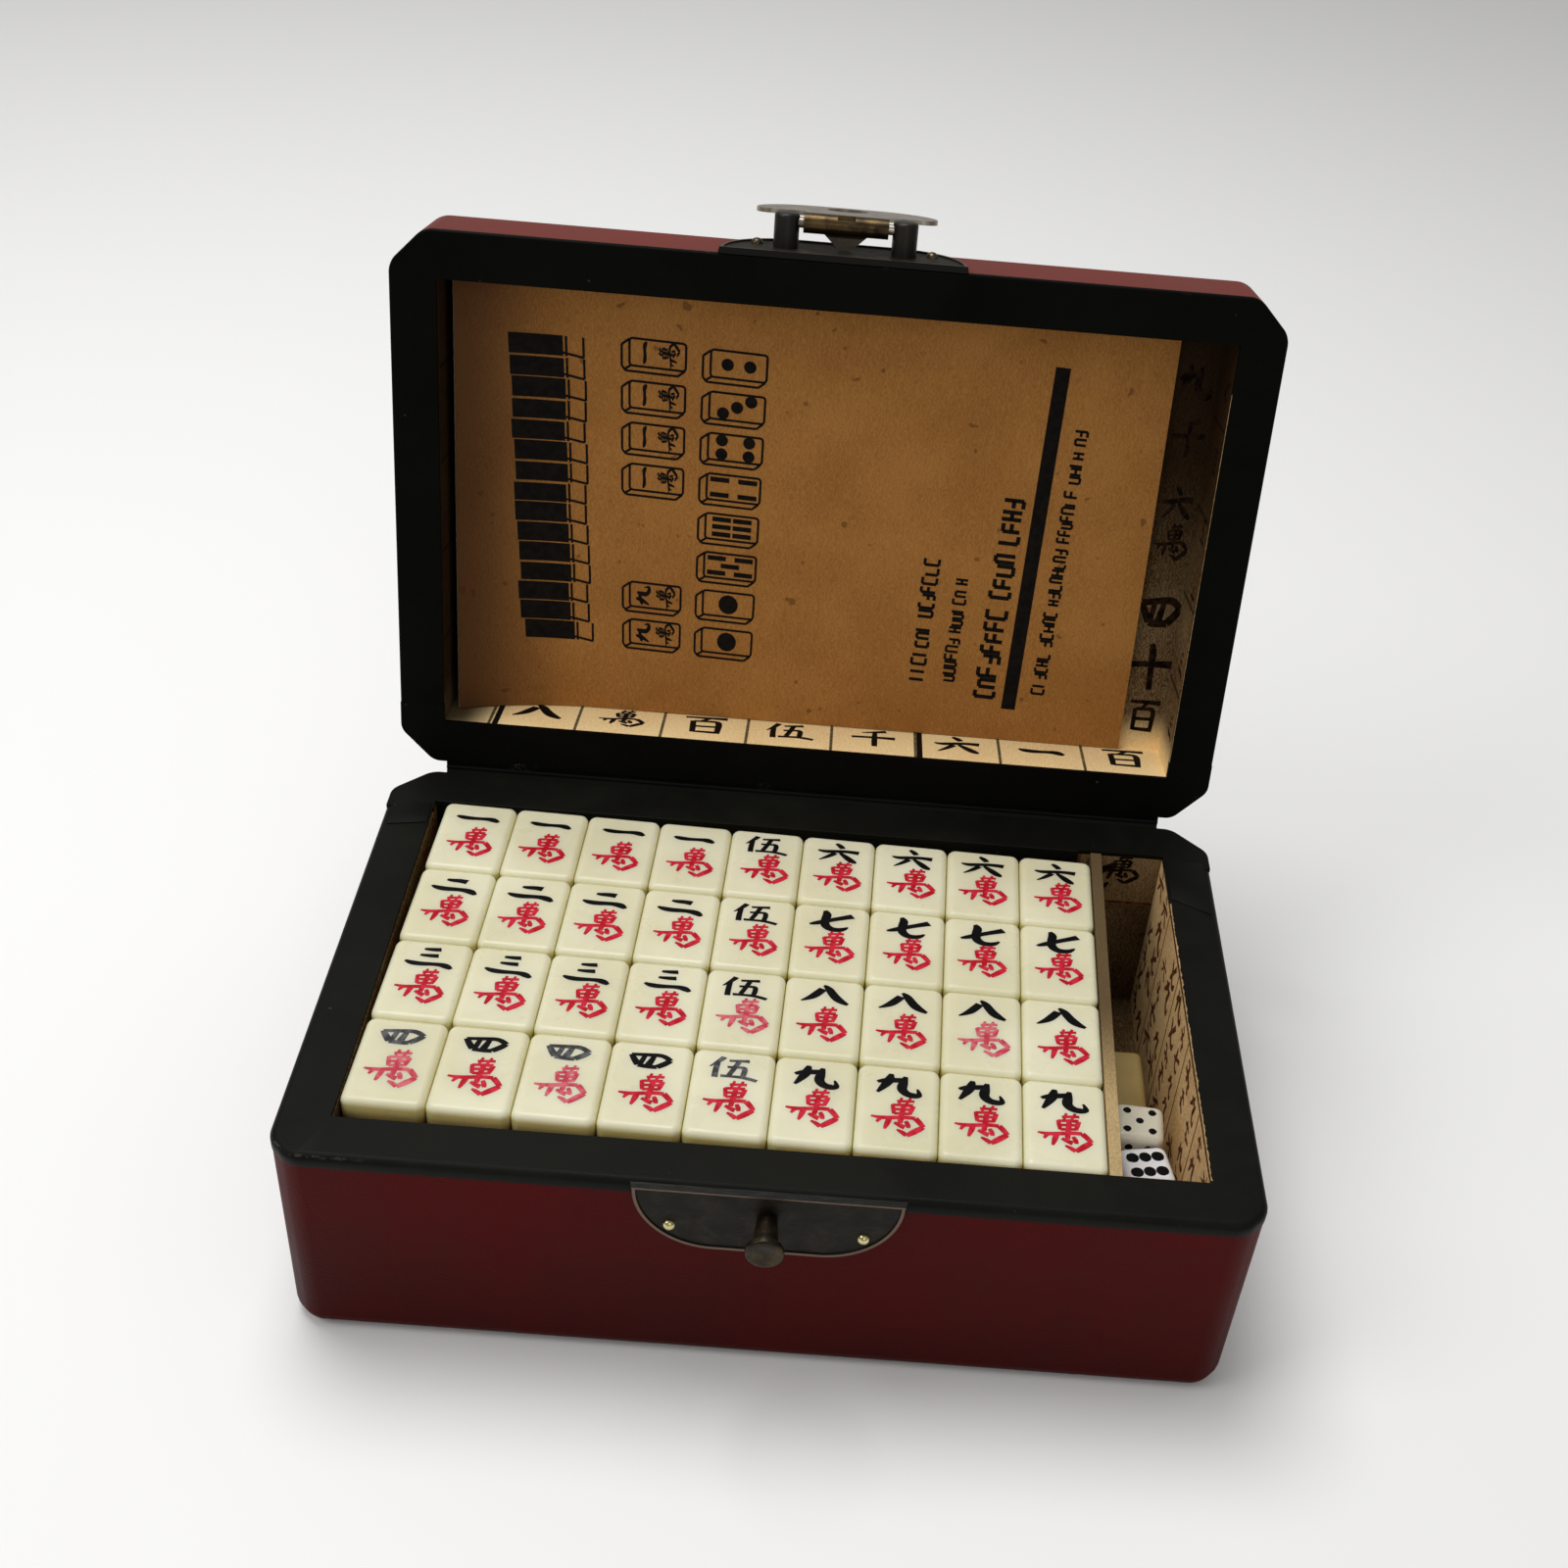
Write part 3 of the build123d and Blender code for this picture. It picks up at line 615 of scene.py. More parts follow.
def metalFinish(name):
    look = metals[name]
    rough, aged, ridge = look["rough"], look["aged"], look["ridge"]
    finish, tree, shader = startFinish(name, rough, Specular_IOR_Level=look["gloss"])
    place = objectPlace(tree, look["onLid"])
    age = useGroup(tree, metalAge, {"Vector": place, "Scale": 1.0})
    cover = stretch(tree, age["Patina"], 0.3, 0.62, look["least"], 1.0)
    if ridge is not None:
        split, sideWall, frontWall = flatPlace(tree, look["onLid"])
        border = stretch(tree, split[1], ridge + plateWearAndShade["soft"], ridge - plateWearAndShade["soft"])
        raised = times(tree, border, frontWall)
        cover = times(tree, cover, minus(tree, 1.0, times(tree, raised, plateWearAndShade["border"])))
        cover = largest(tree, cover, minus(tree, 1.0, frontWall))
        # painted shade: faces that don't look to the front, such as the plate's top under the rim, are darker
        aged = tint(tree, frontWall, tuple(channel * plateWearAndShade["sides"] for channel in aged[:3]) + (1,),
                    aged)
    paint(tree, shader, tint(tree, cover, look["fresh"], aged),
          stretch(tree, age["Scratch"], 0.25, 0.75, rough - 0.1, rough + 0.12),
          stretch(tree, cover, 0.0, 1.0, 1.0, look["dullest"]))
    addBump(tree, shader, plus(tree, times(tree, age["Scratch"], 0.6), age["Pit"]), 0.00002)
    return finish


haspLook = {"roll": linear(94, 78, 54), "rollDark": linear(44, 35, 23), "sheet": linear(182, 172, 158),
            "sheetDark": linear(136, 126, 108), "rollReach": 2.75 * mm, "rollFade": 0.6 * mm}


def haspFinish():
    # golden roll round the pin, paler sheet beyond it
    finish, tree, shader = startFinish("haspSheet", 0.34)
    place = objectPlace(tree, True)
    low, high = closedBox("hasp_pin")
    middle = (low + high) / 2
    fromPin = vectorCalc(tree, "SUBTRACT", place, (0, middle.y, middle.z))
    flat = vectorCalc(tree, "MULTIPLY", fromPin, (0, 1, 1))
    reach = addNode(tree, "ShaderNodeVectorMath", {0: flat}, operation="LENGTH").outputs["Value"]
    beyond = stretch(tree, reach, haspLook["rollReach"], haspLook["rollReach"] + haspLook["rollFade"])
    age = useGroup(tree, metalAge, {"Vector": place, "Scale": 1.0})
    worn = stretch(tree, age["Patina"], 0.35, 0.65)
    roll = tint(tree, worn, haspLook["roll"], haspLook["rollDark"])
    sheet = tint(tree, worn, haspLook["sheet"], haspLook["sheetDark"])
    paint(tree, shader, tint(tree, beyond, roll, sheet),
          stretch(tree, age["Scratch"], 0.25, 0.75, 0.26, 0.46), stretch(tree, worn, 0.0, 1.0, 1.0, 0.8))
    addBump(tree, shader, age["Pit"], 0.00002)
    return finish


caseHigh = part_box("base_cover")[1]
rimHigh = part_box("base_rim")[1]
lidLow, lidHigh = closedBox("lid_cover")
lidTop = closedBox("lid_top_cover")[1].z
lidRimLow = closedBox("lid_rim")[0].z
corner = {"cut": 9.5 * mm, "frontCut": 5.5 * mm, "round": 6.5 * mm, "foot": 4.8 * mm, "top": 4.0 * mm,
          "leather": 0.8 * mm}
baseHalf = (caseHigh.x, caseHigh.y)
lidHalf = (lidHigh.x, lidHigh.y)
lidInset = caseHigh.x - lidHigh.x
baseCuts = (corner["frontCut"], corner["cut"])  # front corners, back corners
lidCut = corner["cut"] - lidInset * (2 - 2 ** 0.5)
away = 1.0  # a height that no leather reaches, where an edge shows no wear

finishes = {
    "redBase": leatherFinish("redLeatherBase", redLeather, False, 0.0, caseHigh.z, baseHalf, baseCuts[0]),
    "redLid": leatherFinish("redLeatherLid", redLeather, True, lidRimLow, lidTop, lidHalf, lidCut, True),
    "blackBase": leatherFinish("blackLeatherBase", blackLeather, False, -away, rimHigh.z, baseHalf,
                               baseCuts[0]),
    "blackLid": leatherFinish("blackLeatherLid", shadedLidLeather, True, lidRimLow, away, lidHalf, lidCut),
    "hinge": leatherFinish("hingeLeather", hingeLeather, False, -away, away, baseHalf, baseCuts[0]),
    "liningBase": liningFinish("ruledLiningBase", False, lining["line"]),
    "liningLid": liningFinish("ruledLiningLid", True, lining["lidLine"]),
    "divider": paperFinish("dividerPaper"), "bookCover": paperFinish("kraftCover"),
    "bookPages": paperFinish("creamPages"), "tornPaper": paperFinish("tornPaper"),
    "tile": tileFinish(), "spareTile": spareFinish(),
    "die": dieFinish("whiteDie", linear(240, 238, 242), linear(250, 250, 252)),
    "paleDie": dieFinish("paleDie", linear(214, 210, 190), linear(226, 222, 204)),
    "board": woodFinish(), "plateBase": metalFinish("agedPlateBase"),
    "plateLid": metalFinish("agedPlateLid"), "bronze": metalFinish("rubbedBronze"),
    "darkPost": metalFinish("darkPost"), "hasp": haspFinish(), "bright": metalFinish("brightNickel"),
    "dullNail": metalFinish("dullNail"), "nail": metalFinish("nailHead"),
    **{name: inkFinish(name) for name in inks}}
slotLooks = {"board": "board", "lining_paper": "liningBase", "dark_metal": "bronze",
             "bright_metal": "bright", "tile": "tile", "die": "die", "book_cover": "bookCover",
             "book_paper": "bookPages", "red_leather": "redBase", "black_leather": "blackBase"}
nodeLooks = {"lid_cover": "redLid", "lid_top_cover": "redLid", "lid_rim": "blackLid",
             "hinge_strip_lid": "blackLid", "hinge_strip_base": "hinge", "lid_lining": "liningLid",
             "compartment_divider": "divider", "base_lock_plate": "plateBase", "lid_lock_plate": "plateLid",
             "hasp": "hasp"}


def dressNodes():
    slotOf = {part["node"]: part["material_slot"] for part in frame["record"]["subparts"]}
    for name, node in nodes.items():
        look = nodeLooks.get(name) or slotLooks[slotOf[name]]
        node.data.materials.clear()
        node.data.materials.append(finishes[look])


dressNodes()
print("finishes on the CAD nodes")


# piece helpers
tiny = 1e-6


def once(items):
    return list(dict.fromkeys(items))


def level(parts, height):
    # the edges or faces that lie at one height
    return [part for part in parts if all(abs(vertex.co.z - height) < tiny for vertex in part.verts)]


def uprights(bm):
    return [side for side in bm.edges if abs(side.verts[0].co.z - side.verts[1].co.z) > tiny]


def bevelEdges(bm, edges, offset, segments):
    bmesh.ops.bevel(bm, geom=edges, offset=offset, segments=segments, affect="EDGES", profile=0.5,
                    material=-1)


def pullEdges(bm, edges, by=None):
    # extrudes loose or border edges and returns the new vertices
    made = bmesh.ops.extrude_edge_only(bm, edges=edges)["geom"]
    pulled = [item for item in made if isinstance(item, bmesh.types.BMVert)]
    if by:
        bmesh.ops.translate(bm, vec=by, verts=pulled)
    return pulled


def makePiece(name, source, body, looks, replaced=(), sharp=40):
    mesh = toMesh(source, name)
    for look in looks:
        mesh.materials.append(finishes[look])
    mesh.shade_smooth()
    mesh.set_sharp_from_angle(angle=radians(sharp))
    piece = bpy.data.objects.new(name, mesh)
    scene.collection.objects.link(piece)
    if body:
        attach(piece, body)
    if replaced:
        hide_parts(*replaced)
    return piece


def addCopy(bm, mesh, place, look=0):
    countVerts, countFaces = len(bm.verts), len(bm.faces)
    bm.from_mesh(mesh)
    bm.verts.ensure_lookup_table()
    bm.faces.ensure_lookup_table()
    bmesh.ops.transform(bm, matrix=place, verts=bm.verts[countVerts:])
    for face in bm.faces[countFaces:]:
        face.material_index = look


def boxMesh(bm, low, high, look=0):
    made = bmesh.ops.create_cube(bm, size=1)["verts"]
    size = Vector(high) - Vector(low)
    place = Matrix.Translation((Vector(low) + Vector(high)) / 2) @ Matrix.Diagonal((*size, 1))
    bmesh.ops.transform(bm, matrix=place, verts=made)
    for face in once(face for vertex in made for face in vertex.link_faces):
        face.material_index = look
    return made


def evenShading(piece):
    piece.modifiers.new("evenShading", "WEIGHTED_NORMAL").keep_sharp = True


def addSkin(piece, thickness):
    skin = piece.modifiers.new("leatherSkin", "SOLIDIFY")
    skin.thickness, skin.offset = thickness, -1
    evenShading(piece)


def islandCentres(name):
    # middle of each loose solid of a CAD node
    bm = bmesh.new()
    bm.from_mesh(nodes[name].data)
    bmesh.ops.remove_doubles(bm, verts=bm.verts, dist=tiny)
    seen, centres = set(), []
    for start in bm.verts:
        if start in seen:
            continue
        island, edge = [], [start]
        seen.add(start)
        while edge:
            vertex = edge.pop()
            island.append(vertex)
            near = [link.other_vert(vertex) for link in vertex.link_edges]
            near = [other for other in near if other not in seen]
            seen.update(near)
            edge += near
        centres.append(middleOf(*extent([vertex.co for vertex in island])))
    bm.free()
    return centres


def middleOf(low, high):
    return (low + high) / 2


# red leather shells, the base's just under the black leather's turned-down edge
shell = {"cornerSteps": 5, "edgeSteps": 6, "underRim": 0.15 * mm}


def cutCorners(bm, cuts, upright, segments):
    # front and back uprights are cut off at 45 degrees, then the edges of the cuts are rounded
    for front, cut in zip((True, False), cuts):
        bevelEdges(bm, [side for side in uprights(bm) if (side.verts[0].co.y < 0) == front], cut, 1)
    bevelEdges(bm, uprights(bm), upright * tan(radians(22.5)), segments)


def leatherShell(name, low, high, cuts, upright, edge, edgeUp, look, replaced, body, place=None):
    bm = bmesh.new()
    boxMesh(bm, low, high)
    cutCorners(bm, cuts, upright, shell["cornerSteps"])
    rounded, mouth = (high[2], low[2]) if edgeUp else (low[2], high[2])
    bevelEdges(bm, level(bm.edges, rounded), edge, shell["edgeSteps"])
    bmesh.ops.delete(bm, geom=level(bm.faces, mouth), context="FACES")
    if place:
        bmesh.ops.transform(bm, matrix=place, verts=bm.verts)
    bmesh.ops.recalc_face_normals(bm, faces=bm.faces)
    addSkin(makePiece(name, bm, body, [look], replaced, 60), corner["leather"])


baseSkin = (caseHigh.x - shell["underRim"], caseHigh.y - shell["underRim"])
leatherShell("redLeatherBase", (-baseSkin[0], -baseSkin[1], 0), (*baseSkin, caseHigh.z), baseCuts,
             corner["round"], corner["foot"], False, "redBase", ("base_cover", "base_bottom_cover"), "base")
leatherShell("redLeatherLid", (-lidHigh.x, -lidHigh.y, lidLow.z), (lidHigh.x, lidHigh.y, lidTop),
             (lidCut, lidCut), corner["round"] - lidInset, corner["top"], True, "redLid",
             ("lid_cover", "lid_top_cover"), "lid", toRest)
print("red leather")


# black leather round the rims, turned down over the outer edge
wrap = {"baseDown": 3.6 * mm, "baseEdge": 1.8 * mm, "lidDown": 1.3 * mm, "lidEdge": 0.7 * mm,
        "thick": 0.4 * mm, "inDown": 1.2 * mm, "baseWell": 102.2 * mm, "lidWell": 102.0 * mm,
        "cornerSteps": 6, "edgeSteps": 4}


def rimWrap(name, half, cuts, upright, down, edge, well, behind, place, look, body, replaced):
    # built as a frame whose face is at zero height and whose skirt hangs below it
    bm = bmesh.new()
    boxMesh(bm, (-half[0], -half[1], -down), (half[0], half[1], 0))
    cutCorners(bm, cuts, upright, wrap["cornerSteps"])
    bevelEdges(bm, level(bm.edges, 0), edge, wrap["edgeSteps"])
    bmesh.ops.delete(bm, geom=level(bm.faces, -down), context="FACES")
    hole = (well, half[1] - half[0] + well)
    for axis in (0, 1):
        normal = Vector((1 - axis, axis, 0))
        for side in (-1, 1):
            flat = level(bm.faces, 0)
            cut = flat + once(line for face in flat for line in face.edges)
            cut += once(vertex for face in flat for vertex in face.verts)
            bmesh.ops.bisect_plane(bm, geom=cut, plane_co=normal * side * hole[axis], plane_no=normal)
    inside = [face for face in level(bm.faces, 0)
              if all(abs(face.calc_center_median()[axis]) < hole[axis] for axis in (0, 1))]
    bmesh.ops.delete(bm, geom=inside, context="FACES")
    pullEdges(bm, [line for line in level(bm.edges, 0) if line.is_boundary], (0, 0, -wrap["inDown"]))
    everything = bm.verts[:] + bm.edges[:] + bm.faces[:]
    bmesh.ops.bisect_plane(bm, geom=everything, plane_co=(0, behind, 0), plane_no=(0, 1, 0))
    past = [face for face in bm.faces if face.calc_center_median().y > behind
            and face.calc_center_median().z > -wrap["inDown"] - 0.1 * mm]
    bmesh.ops.delete(bm, geom=past, context="FACES")
    bmesh.ops.transform(bm, matrix=place, verts=bm.verts)
    bmesh.ops.recalc_face_normals(bm, faces=bm.faces)
    addSkin(makePiece(name, bm, body, [look], replaced, 60), wrap["thick"])


lidFace = toRest @ Matrix.Translation((0, 0, lidRimLow)) @ Matrix.Diagonal((1, 1, -1, 1))
rimWrap("baseRimLeather", baseHalf, baseCuts, corner["round"], wrap["baseDown"], wrap["baseEdge"],
        wrap["baseWell"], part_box("hinge_strip_base")[0].y, Matrix.Translation((0, 0, rimHigh.z)),
        "blackBase", "base", ("base_rim",))
rimWrap("lidRimLeather", lidHalf, (lidCut, lidCut), corner["round"] - lidInset, wrap["lidDown"],
        wrap["lidEdge"], wrap["lidWell"], closedBox("hinge_strip_lid")[0].y, lidFace, "blackLid", "lid",
        ("lid_rim",))
print("rim leather")


# brush strokes, in hundredths of the sign: across, up, half width
strokes = {
    "one": (((-50, 8, 3), (-42, 2, 8), (-20, -2, 8), (8, 0, 6), (30, 2, 8), (42, -2, 10), (53, -12, 4)),),
    "two": (((-22, 26, 4), (-10, 23, 7), (10, 26, 8), (27, 22, 9)),
            ((-52, -12, 3), (-42, -20, 8), (-18, -24, 9), (14, -20, 7), (34, -22, 9), (46, -28, 10),
             (55, -40, 4))),
    "three": (((-16, 42, 4), (0, 40, 7), (22, 43, 7)), ((-22, 12, 4), (-2, 10, 7), (20, 12, 7)),
              ((-52, -18, 3), (-42, -27, 8), (-18, -31, 8), (14, -28, 6), (34, -29, 8), (46, -36, 9),
               (55, -46, 4))),
    "four": (((-43, 25, 6), (-35, 4, 8), (-24, -18, 8)), ((-43, 25, 6), (0, 30, 7), (32, 33, 8),
                                                          (46, 13, 7)),
             ((46, 13, 7), (36, -4, 9), (18, -20, 8)), ((-24, -18, 8), (-4, -24, 7), (18, -20, 8)),
             ((-12, 28, 5), (-16, 6, 6), (-21, -16, 6)), ((9, 29, 5), (4, 6, 7), (-3, -20, 8))),
    "fiveFormal": (((-24, 48, 7), (-34, 24, 7), (-52, 2, 2)), ((-36, 22, 6), (-39, -8, 7), (-38, -42, 7)),
                   ((-12, 34, 5), (8, 37, 5), (32, 40, 7)), ((10, 37, 6), (2, 4, 6), (-8, -28, 6)),
                   ((-14, 6, 5), (12, 10, 5), (28, 10, 7), (22, -28, 6)),
                   ((-26, -34, 6), (0, -32, 5), (30, -32, 7), (54, -42, 6))),
    "five": (((-34, 40, 4), (0, 42, 4), (34, 42, 6)), ((2, 40, 5), (-6, 4, 5), (-16, -34, 5)),
             ((-28, 4, 4), (10, 6, 4), (26, 4, 6), (20, -32, 5)),
             ((-50, -38, 5), (0, -38, 4), (50, -42, 7))),
    "six": (((-8, 52, 4), (4, 42, 9), (10, 26, 6)), ((-52, 8, 3), (-40, 0, 8), (-8, 8, 7), (26, 14, 7),
                                                     (52, 10, 9)),
            ((-8, -2, 7), (-22, -24, 7), (-46, -46, 2)), ((4, 2, 4), (20, -18, 9), (40, -44, 9),
                                                          (48, -46, 4))),
    "seven": (((-52, -24, 3), (-38, -18, 8), (-8, 2, 7), (24, 20, 7), (50, 34, 9)),
              ((-18, 52, 4), (-10, 38, 9), (-16, 6, 8), (-16, -24, 9), (0, -44, 9), (28, -42, 8),
               (40, -24, 2))),
    "eight": (((-4, 30, 8), (-18, 4, 9), (-34, -18, 7), (-54, -32, 2)),
              ((-2, 48, 3), (8, 38, 8), (20, 6, 9), (36, -22, 10), (56, -36, 4))),
    "nine": (((-20, 48, 4), (-22, 28, 9), (-30, 0, 9), (-48, -36, 3)),
             ((-50, 8, 4), (-36, 16, 8), (-12, 22, 8), (12, 26, 8)),
             ((12, 42, 4), (8, 14, 9), (4, -14, 9), (18, -34, 9), (38, -37, 9), (48, -30, 5), (40, -6, 2))),
    "ten": (((-50, 6, 5), (0, 8, 4), (50, 6, 7)), ((-2, 50, 4), (2, 36, 7), (0, 0, 5), (0, -48, 5))),
    "hundred": (((-48, 42, 4), (0, 44, 4), (48, 44, 6)), ((6, 42, 5), (-2, 30, 4), (-14, 22, 3)),
                ((-30, 22, 5), (-28, -12, 6), (-28, -46, 5)),
                ((-28, 20, 4), (10, 24, 4), (30, 22, 6), (30, -10, 6), (28, -48, 5)),
                ((-26, -10, 4), (26, -8, 4)), ((-26, -42, 4), (26, -42, 5))),
    "thousand": (((30, 48, 6), (4, 40, 5), (-26, 34, 2)), ((-50, 4, 5), (0, 8, 4), (50, 6, 7)),
                 ((4, 38, 4), (2, 0, 6), (2, -50, 5))),
    "tenThousand": (((-4, 43, 3), (12, 46, 3), (30, 47, 3)), ((5, 55, 2), (3, 46, 3), (0, 36, 2)),
                    ((22, 56, 2), (20, 47, 3), (14, 37, 2)), ((-12, 31, 3), (8, 35, 3), (28, 34, 4)),
                    ((-12, 33, 3), (-10, 20, 4), (-8, 7, 3)), ((28, 34, 4), (26, 22, 4), (22, 9, 3)),
                    ((-8, 20, 3), (24, 23, 3)), ((-8, 8, 3), (22, 11, 3)),
                    ((10, 35, 4), (8, 10, 5), (5, -18, 4)),
                    ((-52, -5, 2), (-36, -8, 4), (-12, -5, 4), (18, 1, 4), (34, 0, 4)),
                    ((-34, -9, 4), (-40, -21, 2)), ((-15, -2, 4), (-18, -18, 6), (-24, -38, 2)),
                    ((34, 0, 5), (43, -9, 5), (51, -22, 4)), ((51, -22, 4), (38, -34, 7), (20, -50, 4)),
                    ((20, -50, 4), (12, -42, 5), (0, -36, 2)), ((-6, -17, 3), (4, -24, 4), (15, -28, 5)),
                    ((16, -10, 3), (22, -20, 5), (22, -29, 3))),
    "mark": (((-30, 30, 6), (10, 36, 8), (-10, 0, 6)), ((-40, -6, 7), (0, -2, 6), (36, -14, 9)),
             ((6, 6, 6), (-14, -30, 7)), ((16, -20, 6), (30, -44, 9))),
    "shortMark": (((-34, 20, 7), (4, 30, 8), (30, 8, 5)), ((-6, 40, 6), (-10, -40, 8)),
                  ((-30, -16, 6), (34, -34, 8))),
}
fullBrush = 1.3  # every stroke's width is multiplied by this, or by the sign's own load
brushLoad = {"tenThousand": 1.3, "fiveFormal": 1.0, "six": 1.15, "four": 1.1, "mark": 1.2, "shortMark": 1.2}


def brushMesh(name):
    data = bpy.data.curves.new(name, "CURVE")
    data.dimensions, data.bevel_depth, data.bevel_resolution, data.resolution_u = "3D", 1.0, 0, 3
    data.use_fill_caps = True
    for stroke in strokes[name]:
        spline = data.splines.new("NURBS")
        spline.points.add(len(stroke) - 1)
        for point, (across, up, half) in zip(spline.points, stroke):
            point.co = (across / 100, up / 100, 0, 1)
            point.radius = half * brushLoad.get(name, fullBrush) / 100
        spline.order_u, spline.use_endpoint_u = min(3, len(stroke)), True
    holder = bpy.data.objects.new(name, data)
    scene.collection.objects.link(holder)
    bpy.context.view_layer.update()
    mesh = bpy.data.meshes.new_from_object(holder.evaluated_get(bpy.context.evaluated_depsgraph_get()))
    bpy.data.objects.remove(holder)
    return mesh


brushes = {name: brushMesh(name) for name in strokes}
print("brush strokes")


def onPlane(origin, across, up):
    across, up = Vector(across).normalized(), Vector(up).normalized()
    turn = Matrix((across, up, across.cross(up))).transposed().to_4x4()
    return Matrix.Translation(origin) @ turn


inkThin = 0.35 * mm  # a sign's height scale: its strokes stand a few hundredths of this proud


def signPlace(plane, across, up, wide, tall, lean=0.0):
    return (plane @ Matrix.Translation((across, up, 0)) @ Matrix.Rotation(lean, 4, "Z")
            @ Matrix.Diagonal((wide, tall, inkThin, 1)))


# tiles, and the wide, tall and up of the two signs on their faces
tileShape = {"wide": 20 * mm, "long": 29 * mm, "thick": 13.8 * mm, "corner": 2.3 * mm, "edge": 1.9 * mm,
             "edgeSteps": 4, "cornerSteps": 5, "plainSteps": (2, 3), "trim": 0.02 * mm}
tileSigns = {"number": (11.0 * mm, 7.8 * mm, 7.6 * mm), "word": (12.2 * mm, 11.6 * mm, -2.6 * mm),
             "across": 0.3 * mm, "up": 0.2 * mm, "stretch": 0.03, "lean": 0.03,
             "looks": ["blackInk", "redInk", "greyInk", "pinkInk"]}
fadedSigns = {(3, 4): (0, 3), (3, 7): (0, 3), (4, 0): (2, 3), (4, 2): (2, 3), (4, 4): (2, 1)}  # row, column
faceRows = [(left,) * 4 + ("fiveFormal",) + (right,) * 4
            for left, right in (("one", "six"), ("two", "seven"), ("three", "eight"), ("four", "nine"))]


def tileMesh(edgeSteps, cornerSteps):
    bm = bmesh.new()
    half = Vector((tileShape["wide"], tileShape["long"], tileShape["thick"])) / 2
    half -= Vector((1, 1, 1)) * tileShape["trim"]
    boxMesh(bm, -half, half)
    bevelEdges(bm, uprights(bm), tileShape["corner"], cornerSteps)
    bevelEdges(bm, level(bm.edges, half.z) + level(bm.edges, -half.z), tileShape["edge"], edgeSteps)
    return toMesh(bm, "tile")


def rowPlaces(name):
    centres = sorted(islandCentres(name), key=lambda centre: centre.x)
    first, last = centres[0], centres[-1]
    turn = Matrix.Rotation(atan2(last.y - first.y, last.x - first.x), 4, "Z")
    return [Matrix.Translation(centre) @ turn for centre in centres]


def addTiles(name, mesh, places, body, node, look="tile"):
    bm = bmesh.new()
    for place in places:
        addCopy(bm, mesh, place)
    evenShading(makePiece(name, bm, body, [look], (node,)))


def addTileSigns(number, faces, places):
    signs = bmesh.new()
    shake = random.Random(10 + number)
    top = Matrix.Translation((0, 0, tileShape["thick"] / 2 - tileShape["trim"]))
    aside, slip, grow, lean = (tileSigns[key] for key in ("across", "up", "stretch", "lean"))
    for column, (place, face) in enumerate(zip(places, faces)):
        looks = fadedSigns.get((number, column), (0, 1))
        for sign, key, look in ((face, "number", looks[0]), ("tenThousand", "word", looks[1])):
            wide, tall, up = tileSigns[key]
            spot = signPlace(place @ top, shake.uniform(-aside, aside), up + shake.uniform(-slip, slip),
                             wide * shake.uniform(1 - grow, 1 + grow), tall, shake.uniform(-lean, lean))
            addCopy(signs, brushes[sign], spot, look)
    makePiece(f"tileSigns{number}", signs, "tile_layer_4", tileSigns["looks"])


smoothTile = tileMesh(tileShape["edgeSteps"], tileShape["cornerSteps"])
plainTile = tileMesh(*tileShape["plainSteps"])
for number, faces in enumerate(faceRows, start=1):
    places = rowPlaces(f"tiles_row_{number}")
    addTiles(f"tileRow{number}", smoothTile, places, "tile_layer_4", f"tiles_row_{number}")
    addTileSigns(number, faces, places)
blockTurn = rowPlaces("tiles_row_1")[0].to_3x3().to_4x4()  # the whole block shares the top rows' turn
for number in (1, 2, 3):
    places = [Matrix.Translation(centre) @ blockTurn for centre in islandCentres(f"tiles_layer_{number}")]
    addTiles(f"tileLayer{number}", plainTile, places, f"tile_layer_{number}", f"tiles_layer_{number}")
for number in (1, 2):
    node = f"spare_tile_{number}"
    upright = Matrix.Translation(middleOf(*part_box(node))) @ Matrix.Rotation(radians(90), 4, "Y")
    addTiles(f"spareTile{number}", smoothTile, [upright], node, node, "spareTile")
print("tiles")


# dice, each with its number, turn, pip size, finish and the counts on its sides
die = {"side": 13 * mm, "edge": 2.4 * mm, "steps": 4, "spread": 3.2 * mm, "sunk": 0.02 * mm,
       "pipRise": 0.06 * mm, "places": ((1, 10.0, 1.7 * mm, "die", (6, 1, 2, 5, 3, 4)),
                                        (2, -4.0, 1.1 * mm, "paleDie", (5, 2, 3, 4, 1, 6))),
       "sides": (((1, 0, 0), (0, 1, 0)), ((-1, 0, 0), (0, 1, 0)), ((0, 1, 0), (0, 0, 1)),
                 ((0, 1, 0), (0, 0, -1)), ((0, 0, 1), (1, 0, 0)), ((0, 0, 1), (-1, 0, 0)))}
pipSpots = {1: ((0, 0),), 2: ((-1, -1), (1, 1)), 3: ((-1, -1), (0, 0), (1, 1)),
            4: ((-1, -1), (-1, 1), (1, -1), (1, 1)), 5: ((-1, -1), (-1, 1), (0, 0), (1, -1), (1, 1)),
            6: ((-1, -0.75), (0, -0.75), (1, -0.75), (-1, 0.75), (0, 0.75), (1, 0.75))}


